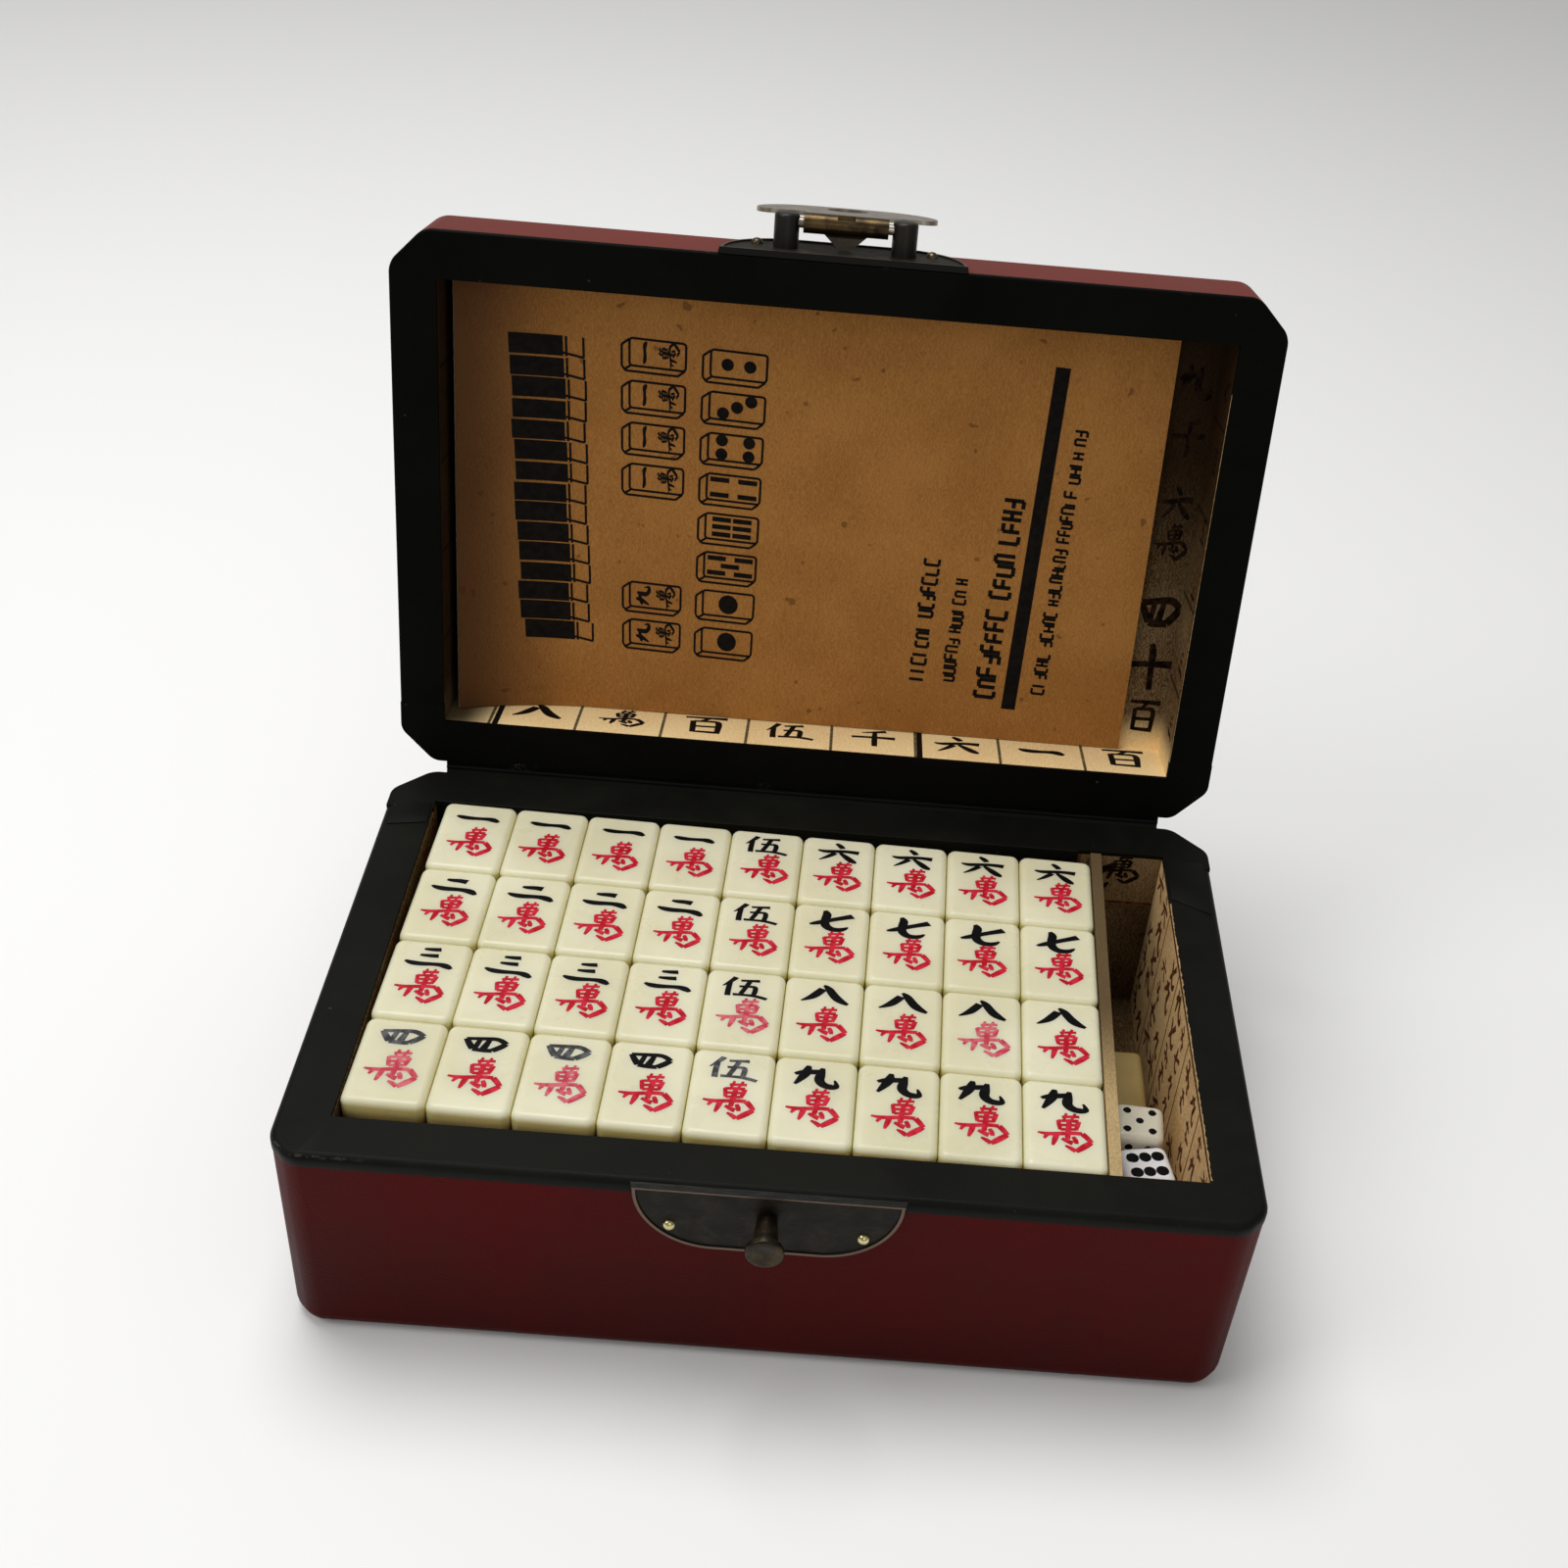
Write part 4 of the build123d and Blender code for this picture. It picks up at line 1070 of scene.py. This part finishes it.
def addDie(number, turn, pip, look, counts):
    node = f"die_{number}"
    place = Matrix.Translation(middleOf(*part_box(node))) @ Matrix.Rotation(radians(turn), 4, "Z")
    half = die["side"] / 2
    bm = bmesh.new()
    boxMesh(bm, (-half, -half, -half), (half, half, half))
    bevelEdges(bm, bm.edges[:], die["edge"], die["steps"])
    bmesh.ops.transform(bm, matrix=place, verts=bm.verts)
    evenShading(makePiece(f"roundDie{number}", bm, node, [look], (node,)))
    pips = bmesh.new()
    for count, (across, up) in zip(counts, die["sides"]):
        plane = place @ onPlane(Vector(across).cross(Vector(up)) * half, across, up)
        for x, y in pipSpots[count]:
            made = bmesh.ops.create_uvsphere(pips, u_segments=16, v_segments=8, radius=1)["verts"]
            spot = plane @ Matrix.Translation((x * die["spread"], y * die["spread"], -die["sunk"]))
            bmesh.ops.transform(pips, matrix=spot @ Matrix.Diagonal((pip, pip, die["pipRise"], 1)),
                                verts=made)
    makePiece(f"pips{number}", pips, node, ["blackInk"])


for values in die["places"]:
    addDie(*values)
print("dice")


# latch: turned parts are spun
latch = {"nailSpread": 22.4 * mm, "nailInset": 12.4 * mm, "nailHead": 1.55 * mm, "nailRise": 1.3 * mm,
         "nailSunk": 0.1 * mm, "plate": 1.2 * mm, "knobInset": 7.8 * mm, "knobReach": 10.8 * mm,
         "knobShaft": 3.05 * mm, "knobFoot": 2.4 * mm, "knobHead": 4.5 * mm, "headThick": 2.0 * mm,
         "postSpread": 15.0 * mm, "postInset": 9.5 * mm, "post": 3.2 * mm, "postTall": 8.5 * mm,
         "postRound": 0.9 * mm, "pinReach": 17.7 * mm, "pin": 1.3 * mm, "pinUp": 6.3 * mm,
         "pinRound": 0.5 * mm}
basePlate = onPlane((0, -caseHigh.y - latch["plate"], rimHigh.z), (-1, 0, 0), (0, 0, -1))
lidPlate = toRest @ onPlane((0, -lidHigh.y - latch["plate"], lidRimLow), (1, 0, 0), (0, 0, 1))


def spun(bm, profile, place, steps):
    corners = [bm.verts.new((radius, 0, height)) for radius, height in profile]
    sides = [bm.edges.new(pair) for pair in zip(corners, corners[1:])]
    count = len(bm.faces)
    bmesh.ops.spin(bm, geom=corners + sides, cent=(0, 0, 0), axis=(0, 0, 1), angle=2 * pi, steps=steps,
                   use_merge=True)
    bm.faces.ensure_lookup_table()
    ring = once(vertex for face in bm.faces[count:] for vertex in face.verts)
    bmesh.ops.remove_doubles(bm, verts=ring, dist=1e-7)
    bm.faces.ensure_lookup_table()
    made = bm.faces[count:]
    bmesh.ops.recalc_face_normals(bm, faces=made)
    bmesh.ops.transform(bm, matrix=place, verts=once(vertex for face in made for vertex in face.verts))


def roundEdge(radius, height, size, steps=4):
    # quarter circle at the outer end of a turned part
    angles = [step * pi / 2 / steps for step in range(steps, -1, -1)]
    return [(radius - size + size * sin(angle), height - size + size * cos(angle)) for angle in angles]


def addNails(name, plane, body, node, look):
    bm = bmesh.new()
    head, rise = latch["nailHead"], latch["nailRise"]
    dome = [(head * cos(step * pi / 12), rise * sin(step * pi / 12)) for step in range(6)] + [(0, rise)]
    for side in (-1, 1):
        place = plane @ Matrix.Translation((side * latch["nailSpread"], latch["nailInset"], 0))
        spun(bm, [(head * 0.9, -latch["nailSunk"])] + dome, place, 24)
    makePiece(name, bm, body, [look], (node,), 60)


def addKnob():
    bm = bmesh.new()
    reach, head, shaft = latch["knobReach"], latch["knobHead"], latch["knobShaft"]
    neck, ring = reach - latch["headThick"], shaft + 0.5 * mm  # where the head begins, and the ring below it
    profile = [(latch["knobFoot"], 0), (latch["knobFoot"], 0.6 * mm), (shaft, neck - 1.0 * mm),
               (ring, neck - 0.6 * mm), (ring, neck - 0.2 * mm), (head - 0.5 * mm, neck),
               (head, neck + 0.5 * mm)]
    profile += roundEdge(head, reach, 0.6 * mm)
    profile += [(head * 0.62, reach + 0.02 * mm), (head * 0.5, reach - 0.12 * mm), (0, reach - 0.16 * mm)]
    spun(bm, profile, basePlate @ Matrix.Translation((0, latch["knobInset"], 0)), 48)
    makePiece("turnedKnob", bm, "base", ["bronze"], ("lock_knob",), 35)


def addPosts():
    bm = bmesh.new()
    profile = [(latch["post"], 0)] + roundEdge(latch["post"], latch["postTall"], latch["postRound"])
    profile.append((0, latch["postTall"] + 0.05 * mm))
    for side in (-1, 1):
        foot = (side * latch["postSpread"], latch["postInset"], 0)
        spun(bm, profile, lidPlate @ Matrix.Translation(foot), 36)
    makePiece("turnedPosts", bm, "lid", ["darkPost"], ("hasp_posts",))


def addPin():
    bm = bmesh.new()
    reach = latch["pinReach"]
    dome = roundEdge(latch["pin"], reach, latch["pinRound"], 3)
    profile = [(0, -reach)] + [(radius, -height) for radius, height in reversed(dome)] + dome + [(0, reach)]
    middle = Matrix.Translation((0, latch["postInset"], latch["pinUp"]))
    along = lidPlate @ middle @ Matrix.Rotation(pi / 2, 4, "Y")
    spun(bm, profile, along, 24)
    makePiece("polishedPin", bm, "lid", ["bright"], ("hasp_pin",), 60)


addNails("basePlateNails", basePlate, "base", "base_plate_nails", "nail")
addNails("lidPlateNails", lidPlate, "lid", "lid_plate_nails", "dullNail")
addKnob()
addPosts()
addPin()
print("latch")


# pressed half-moon plates, inset in steps: skirt, border, sunk field
pressed = {"wide": 63 * mm, "deep": 20 * mm, "corner": 19 * mm, "cornerSteps": 20, "foot": 0.15 * mm,
           "steps": ((0.5 * mm, 1.45 * mm), (0.75 * mm, 0), (0.15 * mm, -0.4 * mm))}


def addPlate(name, plane, body, node, look):
    bm = bmesh.new()
    half = pressed["wide"] / 2
    boxMesh(bm, (-half, 0, 0), (half, pressed["deep"], pressed["foot"]))
    far = [side for side in uprights(bm) if side.verts[0].co.y > pressed["deep"] / 2]
    bevelEdges(bm, far, pressed["corner"], pressed["cornerSteps"])
    for thick, depth in pressed["steps"]:
        top = [max(bm.faces, key=lambda face: face.calc_center_median().z + face.normal.z
                   + face.calc_area())]
        bmesh.ops.inset_region(bm, faces=top, thickness=thick, depth=depth)
        bm.normal_update()
    bmesh.ops.transform(bm, matrix=plane @ Matrix.Translation((0, 0, -latch["plate"])), verts=bm.verts)
    evenShading(makePiece(name, bm, body, [look], (node,), 25))


addPlate("pressedBasePlate", basePlate, "base", "base_lock_plate", "plateBase")
addPlate("pressedLidPlate", lidPlate, "lid", "lid_lock_plate", "plateLid")
print("plates")


# print on the booklet, drawn on the page: across to the right, up towards the lid's front
page = {"thin": 0.06 * mm, "lean": -0.035, "fine": 0.62 * mm, "bend": 0.08, "bendFrom": 30 * mm,
        "bendOver": 105 * mm, "cut": 2.5 * mm}
coverFaces = [tuple(face.vertices) for face in nodes["booklet_cover"].data.polygons]
coverTree = BVHTree.FromPolygons(closedPoints("booklet_cover"), coverFaces)
coverLow = closedBox("booklet_cover")[0].z


def printBar(bm, left, low, right, high):
    # flat bar on the page, cut up so that it can follow the curl
    made = boxMesh(bm, (left, low, 0), (right, high, page["thin"]))
    cuts = int((right - left) / page["cut"])
    if cuts > 0:
        lengthways = once(side for vertex in made for side in vertex.link_edges
                          if abs(side.verts[0].co.x - side.verts[1].co.x) > (right - left) / 2)
        bmesh.ops.subdivide_edges(bm, edges=lengthways, cuts=cuts, use_grid_fill=True)


def printLine(bm, start, end, wide):
    start, end = Vector((*start, 0)), Vector((*end, 0))
    along = end - start
    made = boxMesh(bm, (0, -wide / 2, 0), (along.length, wide / 2, page["thin"]))
    turn = Matrix.Rotation(atan2(along.y, along.x), 4, "Z")
    bmesh.ops.transform(bm, matrix=Matrix.Translation(start) @ turn, verts=made)


def printDot(bm, x, y, radius):
    made = bmesh.ops.create_circle(bm, cap_ends=True, segments=14, radius=radius)["verts"]
    bmesh.ops.transform(bm, matrix=Matrix.Translation((x, y, page["thin"])), verts=made)


def printSign(bm, name, x, y, size):
    place = (Matrix.Translation((x, y, page["thin"] / 2)) @ Matrix.Rotation(pi / 2, 4, "Z")
             @ Matrix.Diagonal((size, size * 0.8, page["thin"] * 8, 1)))
    addCopy(bm, brushes[name], place)


def printFrame(bm, left, low, right, high, wide, rounding):
    # flat outline with rounded corners
    part = bmesh.new()
    boxMesh(part, (left, low, 0), (right, high, page["thin"]))
    bevelEdges(part, uprights(part), rounding, 3)
    top = max(part.faces, key=lambda face: face.calc_area() if face.normal.z > 0.9 else 0)
    bmesh.ops.inset_region(part, faces=[top], thickness=wide)
    bmesh.ops.delete(part, geom=[top] + [face for face in part.faces if face.normal.z < -0.9],
                     context="FACES")
    addCopy(bm, toMesh(part, "outline"), Matrix())


# a drawn tile lies on its side, with its thickness shown below and to the left: each of its lines runs
# between two points, given in mm from a corner of its face
drawn = {"rounding": 1.1 * mm, "numberLeft": 0.22, "numberTall": 0.72, "wordRight": 0.2, "wordTall": 0.84,
         "dot": 0.21, "oneDot": 0.36, "dotSpread": 0.24, "stickAcross": 0.25, "stickUp": 0.27,
         "stickHalf": 0.17, "stick": 2.1, "twoDots": ((0, -0.8), (0, 0.8)),
         "sides": ((("left", "low", 0.6, 0.3), ("left", "low", -0.9, -0.8)),
                   (("left", "high", 0.3, -0.6), ("left", "high", -1.7, -2.2)),
                   (("right", "low", -0.6, 0.3), ("right", "low", -2.3, -1.2)),
                   (("left", "low", -1.7, 0.0), ("left", "high", -1.7, -2.2)),
                   (("left", "low", -1.7, 0.0), ("left", "low", -0.7, -1.2)),
                   (("left", "low", -0.7, -1.2), ("right", "low", -2.3, -1.2)))}


def drawnTile(bm, left, low, wide, tall, kind, count):
    face = {"left": left, "right": left + wide, "low": low, "high": low + tall}
    printFrame(bm, left, low, face["right"], face["high"], page["fine"], drawn["rounding"])
    for ends in drawn["sides"]:
        start, end = ((face[x] + right * mm, face[y] + up * mm) for x, y, right, up in ends)
        printLine(bm, start, end, page["fine"])
    x, y = left + wide / 2, low + tall / 2
    if kind == "number":
        printSign(bm, count, x - wide * drawn["numberLeft"], y, tall * drawn["numberTall"])
        printSign(bm, "tenThousand", x + wide * drawn["wordRight"], y, tall * drawn["wordTall"])
    elif kind == "dots":
        radius = tall * drawn["oneDot" if count == 1 else "dot"]
        for up, across in (drawn["twoDots"] if count == 2 else pipSpots[count]):
            printDot(bm, x + across * wide * drawn["dotSpread"], y + up * tall * drawn["dotSpread"], radius)
    else:
        for up, across in pipSpots[count]:
            middle, height = x + across * wide * drawn["stickAcross"], y + up * tall * drawn["stickUp"]
            reach = wide * drawn["stickHalf"]
            printLine(bm, (middle - reach, height), (middle + reach, height), page["fine"] * drawn["stick"])


letterParts = (("stem", "foot"), ("stem", "far", "head"), ("stem", "far", "waist"),
               ("stem", "head", "foot"), ("stem",), ("stem", "far", "foot"), ("stem", "head", "waist"),
               ("far", "waist", "foot"))
letters = {"stroke": 0.21, "perWord": (4, 9), "wide": (0.34, 0.5), "tall": (0.86, 1.0, 1.0), "gap": 0.22,
           "wordGap": 0.45}


def printWord(bm, across, low, high, thick, uneven):
    # stands for a line of type without being one: made-up letters of straight strokes on a common foot
    place, foot = low, across + thick / 2
    while place < high:
        for count in range(uneven.randint(*letters["perWord"])):
            wide, tall = thick * uneven.uniform(*letters["wide"]), thick * uneven.choice(letters["tall"])
            if place + wide > high:
                break
            head, waist, far = foot - tall, foot - tall / 2, place + wide
            parts = {"stem": ((head, place), (foot, place)), "far": ((head, far), (foot, far)),
                     "head": ((head, place), (head, far)), "waist": ((waist, place), (waist, far)),
                     "foot": ((foot, place), (foot, far))}
            for part in uneven.choice(letterParts):
                printLine(bm, *parts[part], thick * letters["stroke"])
            place += wide + thick * letters["gap"]
        place += thick * letters["wordGap"]


booklet = {"numbers": (("one", 36.5), ("one", 25.3), ("one", 14.1), ("one", 2.9), ("nine", -30.6),
                       ("nine", -41.6)),
           "numbersLeft": -54.0, "pairsLeft": -33.0, "tile": (15.2 * mm, 7.8 * mm),
           "pairs": (("dots", 2, 36.0), ("dots", 3, 24.9), ("dots", 4, 13.8), ("sticks", 4, 2.7),
                     ("sticks", 6, -8.4), ("sticks", 5, -19.5), ("dots", 1, -30.6), ("dots", 1, -41.7)),
           "wall": (-84.5, -65.5, 43.0, -42.0, 15), "wallEnd": 5.2, "wallLines": (-4.4, 0.0),
           "wallSlant": 0.9, "wallShift": 0.5, "firstShift": 1.2, "wallGap": (0.25, 0.75),
           "bar": (56.4, -48.5, 60.4, 49.5),
           "words": ((31.0, -42.5, -5.5, 4.0), (40.0, -41.8, -9.5, 3.4), (51.0, -45.5, 14.5, 5.4),
                     (66.0, -42.8, 33.4, 3.4))}


def drawWall(bm, uneven):
    # stack of tiles seen from its end, each course slipped a little
    left, right, high, low, courses = booklet["wall"]
    pitch, body = (high - low) / courses, booklet["wallEnd"]
    for course in range(courses):
        foot = low + course * pitch
        shift = uneven.uniform(-booklet["wallShift"], booklet["wallShift"])
        shift += booklet["firstShift"] if course < 1 else 0
        end = right + shift
        printBar(bm, (left + shift) * mm, foot * mm, (end - body) * mm,
                 (foot + pitch - uneven.uniform(*booklet["wallGap"])) * mm)
        for offset in booklet["wallLines"]:
            printLine(bm, ((end + offset) * mm, foot * mm),
                      ((end + offset) * mm, (foot + pitch - 0.4) * mm), page["fine"])
        printLine(bm, ((end - body) * mm, (foot + booklet["wallSlant"]) * mm), (end * mm, foot * mm),
                  page["fine"])


def addBookletPrint():
    bm = bmesh.new()
    for sign, low in booklet["numbers"]:
        drawnTile(bm, booklet["numbersLeft"] * mm, low * mm, *booklet["tile"], "number", sign)
    for kind, count, low in booklet["pairs"]:
        drawnTile(bm, booklet["pairsLeft"] * mm, low * mm, *booklet["tile"], kind, count)
    uneven = random.Random(4)
    drawWall(bm, uneven)
    printBar(bm, *(value * mm for value in booklet["bar"]))
    for word in booklet["words"]:
        printWord(bm, *(value * mm for value in word), uneven)
    for vertex in bm.verts:  # the print leans more towards the page's left
        reach = min(max((page["bendFrom"] - vertex.co.x) / page["bendOver"], 0), 1)
        vertex.co.x -= page["bend"] * reach * vertex.co.y
    bmesh.ops.transform(bm, matrix=Matrix.Rotation(page["lean"], 4, "Z"), verts=bm.verts)
    for vertex in bm.verts:
        under = Vector((vertex.co.x, -vertex.co.y, coverLow - 20 * mm))
        hit = coverTree.ray_cast(under, Vector((0, 0, 1)))[0]
        vertex.co = Vector((under.x, under.y, (hit.z if hit else coverLow) - vertex.co.z))
    bmesh.ops.transform(bm, matrix=toRest, verts=bm.verts)
    makePiece("bookletPrint", bm, "booklet", ["printInk"])


addBookletPrint()
print("booklet print")


# number signs and brush marks on the lining paper
well = {"x": 102 * mm, "y": 60.5 * mm, "lidX": 101.8 * mm, "lidY": 60.3 * mm, "lidDeep": 20.0 * mm}
lidSigns = {"back": ("eight", "tenThousand", "hundred", "fiveFormal", "thousand", "six", "one", "hundred"),
            "others": ("four", "ten", "hundred", "seven", "tenThousand", "three", "nine", "thousand",
                       "five", "two", "eight", "six"),
            "wide": 12.5 * mm, "tall": 11.5 * mm, "up": 12.0 * mm, "tallRange": (0.92, 1.05), "lean": 0.05,
            "sideCells": 6, "sidePitch": 19 * mm, "sideUp": 3 * mm, "sideSize": (6 * mm, 7 * mm),
            "ceiling": (("hundred", 50, 9), ("ten", 35, 13), ("four", 19, 12), ("tenThousand", -2, 9),
                        ("six", -13, 8), ("thousand", -31, 9), ("nine", -46, 9)),
            "columns": 9, "columnRight": 96, "columnPitch": 23.6, "columnTall": 1.1,
            "thick": (-88.0 * mm, 32.0 * mm), "line": 0.8 * mm}


def addLidSigns():
    bm = bmesh.new()
    shake = random.Random(21)
    pitch, lean = lining["frontPitch"], lidSigns["lean"]
    start = lining["frontStart"] - 1.5 * pitch
    back = toRest @ onPlane((0, well["lidY"], lidRimLow), (1, 0, 0), (0, 0, 1))
    front = toRest @ onPlane((0, -well["lidY"], lidRimLow), (-1, 0, 0), (0, 0, 1))
    size = lidSigns["wide"], lidSigns["tall"]
    for cell, sign in enumerate(lidSigns["back"]):
        spot = signPlace(back, start + cell * pitch, lidSigns["up"], size[0],
                         size[1] * shake.uniform(*lidSigns["tallRange"]), shake.uniform(-lean, lean))
        addCopy(bm, brushes[sign], spot)
        addCopy(bm, brushes[shake.choice(lidSigns["others"])],
                signPlace(front, start + cell * pitch, lidSigns["up"], *size), 1)
    middle = lidRimLow + well["lidDeep"] / 2
    right = toRest @ onPlane((well["lidX"], 0, middle), (0, 0, -1), (0, -1, 0))
    left = toRest @ onPlane((-well["lidX"], 0, middle), (0, 0, 1), (0, -1, 0))
    for cell in range(lidSigns["sideCells"]):
        up = (cell - (lidSigns["sideCells"] - 1) / 2) * lidSigns["sidePitch"]
        for wall in (right, left):
            spot = signPlace(wall, lidSigns["sideUp"], up, *lidSigns["sideSize"],
                             shake.uniform(-lean, lean))
            addCopy(bm, brushes[shake.choice(lidSigns["others"])], spot, 1)
    ceiling = toRest @ onPlane((0, 0, lidRimLow + well["lidDeep"]), (1, 0, 0), (0, -1, 0))
    for column in range(lidSigns["columns"]):
        across = (lidSigns["columnRight"] - column * lidSigns["columnPitch"]) * mm
        for sign, low, wide in lidSigns["ceiling"]:
            spot = signPlace(ceiling, across, -low * mm, wide * mm, wide * lidSigns["columnTall"] * mm,
                             shake.uniform(-lean, lean))
            addCopy(bm, brushes[sign if column < 1 else shake.choice(lidSigns["others"])], spot, 1)
    for across in lidSigns["thick"]:
        made = boxMesh(bm, (across - lidSigns["line"], 0.5 * mm, -0.02 * mm),
                       (across + lidSigns["line"], well["lidDeep"], 0.03 * mm))
        bmesh.ops.transform(bm, matrix=back, verts=made)
    makePiece("lidSigns", bm, "lid", ["printInk", "lidInk"])


baseMarks = {"rows": 6, "top": 56 * mm, "step": 8.6 * mm, "size": 8.2 * mm, "pair": 5.6 * mm,
             "edge": 2.5 * mm, "skipped": 0.2, "sizes": (0.75, 1.15), "slip": 0.8 * mm, "drift": 0.6 * mm,
             "lean": 0.5, "right": ("mark", "shortMark", "nine", "seven", "six"),
             "left": ("mark", "shortMark"), "word": (90.5 * mm, 56.2 * mm, 11.5 * mm, 9.5 * mm),
             "cell": 24 * mm, "cellUp": 54 * mm, "cellSize": 11 * mm, "line": (44.0 * mm, 44.9 * mm)}


def addBaseMarks():
    bm = bmesh.new()
    shake = random.Random(33)
    right = onPlane((well["x"], 0, 0), (0, -1, 0), (0, 0, 1))
    left = onPlane((-well["x"], 0, 0), (0, 1, 0), (0, 0, 1))
    slip, drift, lean = baseMarks["slip"], baseMarks["drift"], baseMarks["lean"]
    for column in range(-1, 5):
        middle = lining["sideStart"] - (column - 0.5) * lining["sidePitch"]
        for across in (middle - baseMarks["pair"], middle + baseMarks["pair"]):
            if abs(across) > well["y"] - baseMarks["edge"]:
                continue
            for row in range(baseMarks["rows"]):
                if shake.random() < baseMarks["skipped"]:
                    continue
                size = baseMarks["size"] * shake.uniform(*baseMarks["sizes"])
                up = baseMarks["top"] - row * baseMarks["step"] + shake.uniform(-slip, slip)
                spot = signPlace(right, -across + shake.uniform(-drift, drift), up, size, size,
                                 shake.uniform(-lean, lean))
                addCopy(bm, brushes[shake.choice(baseMarks["right"])], spot)
                addCopy(bm, brushes[shake.choice(baseMarks["left"])],
                        signPlace(left, across, up, size, size, shake.uniform(-lean, lean)))
    back = onPlane((0, well["y"], 0), (1, 0, 0), (0, 0, 1))
    addCopy(bm, brushes["tenThousand"], signPlace(back, *baseMarks["word"]), 1)
    for cell in range(-4, 4):
        addCopy(bm, brushes[shake.choice(lidSigns["others"])],
                signPlace(back, (cell + 0.5) * baseMarks["cell"], baseMarks["cellUp"],
                          baseMarks["cellSize"], baseMarks["cellSize"]), 1)
    low, high = baseMarks["line"]
    boxMesh(bm, (-well["x"], well["y"] - 0.04 * mm, low), (well["x"], well["y"] + 0.02 * mm, high))
    makePiece("baseMarks", bm, "base", ["brownInk", "lidInk"])


addLidSigns()
addBaseMarks()
print("lining marks")


# torn edge of the lining paper, where it shows against the rim leather
tornEdge = {"wide": 0.3 * mm, "jag": 0.3 * mm, "steps": 120, "thick": 0.12 * mm,
            "lid": (-59 * mm, 48 * mm), "base": (-60 * mm, 40 * mm)}


def addTornEdge(name, plane, body, seed):
    # ribbon along the plane's first axis, its free side frayed
    bm = bmesh.new()
    shake = random.Random(seed)
    start, end = tornEdge[body]
    step = (end - start) / tornEdge["steps"]
    points = [bm.verts.new((start + step * count, 0, 0)) for count in range(tornEdge["steps"] + 1)]
    for vertex in pullEdges(bm, [bm.edges.new(pair) for pair in zip(points, points[1:])]):
        vertex.co.y += tornEdge["wide"] + shake.uniform(-1, 1) * tornEdge["jag"] * shake.random()
    bmesh.ops.recalc_face_normals(bm, faces=bm.faces)
    bmesh.ops.solidify(bm, geom=bm.faces[:], thickness=tornEdge["thick"])
    bmesh.ops.transform(bm, matrix=plane, verts=bm.verts)
    bmesh.ops.recalc_face_normals(bm, faces=bm.faces)
    makePiece(name, bm, body, ["tornPaper"], (), 60)


addTornEdge("tornEdgeLidRight", toRest @ onPlane((well["lidX"] + 0.05 * mm, 0, lidRimLow + 0.1 * mm),
                                                 (0, -1, 0), (1, 0, 0)), "lid", 5)
addTornEdge("tornEdgeBaseRight", onPlane((well["x"] + 0.1 * mm, 0, rimHigh.z + 0.05 * mm),
                                         (0, 1, 0), (1, 0, 0)), "base", 6)
print("torn paper edges")


# leather hinge: outer strip across the back and laps on the side rims, and a black sheet down the back wall behind
# the tiles
spine = {"half": 101.5 * mm, "down": 12 * mm, "straight": 3 * mm, "off": 0.32 * mm, "thick": 0.5 * mm,
         "bulge": ((73.9, 60.9), (74.25, 61.7), (74.9, 62.4), (75.5, 63.1), (75.95, 63.8), (76.35, 64.4)),
         "lidDepths": (3.4 * mm, 6 * mm, 12 * mm)}


def addSpine():
    bm = bmesh.new()
    behind = caseHigh.y + spine["off"]
    line = [(behind, rimHigh.z - spine["down"]), (behind, rimHigh.z - spine["straight"])]
    line += [(y * mm, z * mm) for y, z in spine["bulge"]]
    for depth in spine["lidDepths"]:  # just off the leather on the back of the open lid
        line.append(tuple((toRest @ Vector((0, lidHigh.y + spine["off"], lidRimLow + depth))).yz))
    chain = [bm.verts.new((-spine["half"], y, z)) for y, z in line]
    pullEdges(bm, [bm.edges.new(pair) for pair in zip(chain, chain[1:])], (2 * spine["half"], 0, 0))
    bmesh.ops.recalc_face_normals(bm, faces=bm.faces)
    bmesh.ops.solidify(bm, geom=bm.faces[:], thickness=spine["thick"])
    bmesh.ops.recalc_face_normals(bm, faces=bm.faces)
    strip = makePiece("hingeSpine", bm, None, ["hinge"], (), 60)
    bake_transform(strip)


backSheet = {"left": -101.9 * mm, "right": 78.4 * mm, "low": 47 * mm, "front": 60.2 * mm, "back": 60.85 * mm,
          "top": 0.1 * mm, "round": 0.3 * mm}


# a thin black sheet down the base's back wall behind the tiles, so the wall reads black there
def addBlackBackSheet():
    bm = bmesh.new()
    top = rimHigh.z - backSheet["top"]
    boxMesh(bm, (backSheet["left"], backSheet["front"], backSheet["low"]), (backSheet["right"], backSheet["back"], top))
    edge = [side for side in level(bm.edges, top)
            if all(vertex.co.y < backSheet["back"] - tiny for vertex in side.verts)]
    bevelEdges(bm, edge, backSheet["round"], 3)
    makePiece("blackBackSheet", bm, "base", ["blackBase"], (), 60)


# the front ends of the right and left laps are cut slantwise
laps = {1: (42.0 * mm, 36.5 * mm), -1: (50.0 * mm, 48.0 * mm),
        "far": 58.4 * mm, "inner": 102.6 * mm, "outer": 113.0 * mm, "sunk": 0.05 * mm, "rise": 0.36 * mm,
        "round": 0.1 * mm}


def addLaps():
    bm = bmesh.new()
    for side in (1, -1):
        inner, outer = sorted((side * laps["inner"], side * laps["outer"]))
        inEnd, outEnd = laps[side]
        made = boxMesh(bm, (inner, inEnd, rimHigh.z - laps["sunk"]),
                       (outer, laps["far"], rimHigh.z + laps["rise"]))
        for vertex in made:
            if vertex.co.y < laps["far"] - tiny and abs(vertex.co.x) > laps["outer"] - tiny:
                vertex.co.y = outEnd
    bevelEdges(bm, level(bm.edges, rimHigh.z + laps["rise"]), laps["round"], 2)
    makePiece("hingeLaps", bm, "base", ["blackBase"], (), 60)


addSpine()
addBlackBackSheet()
addLaps()
print("hinge leather")
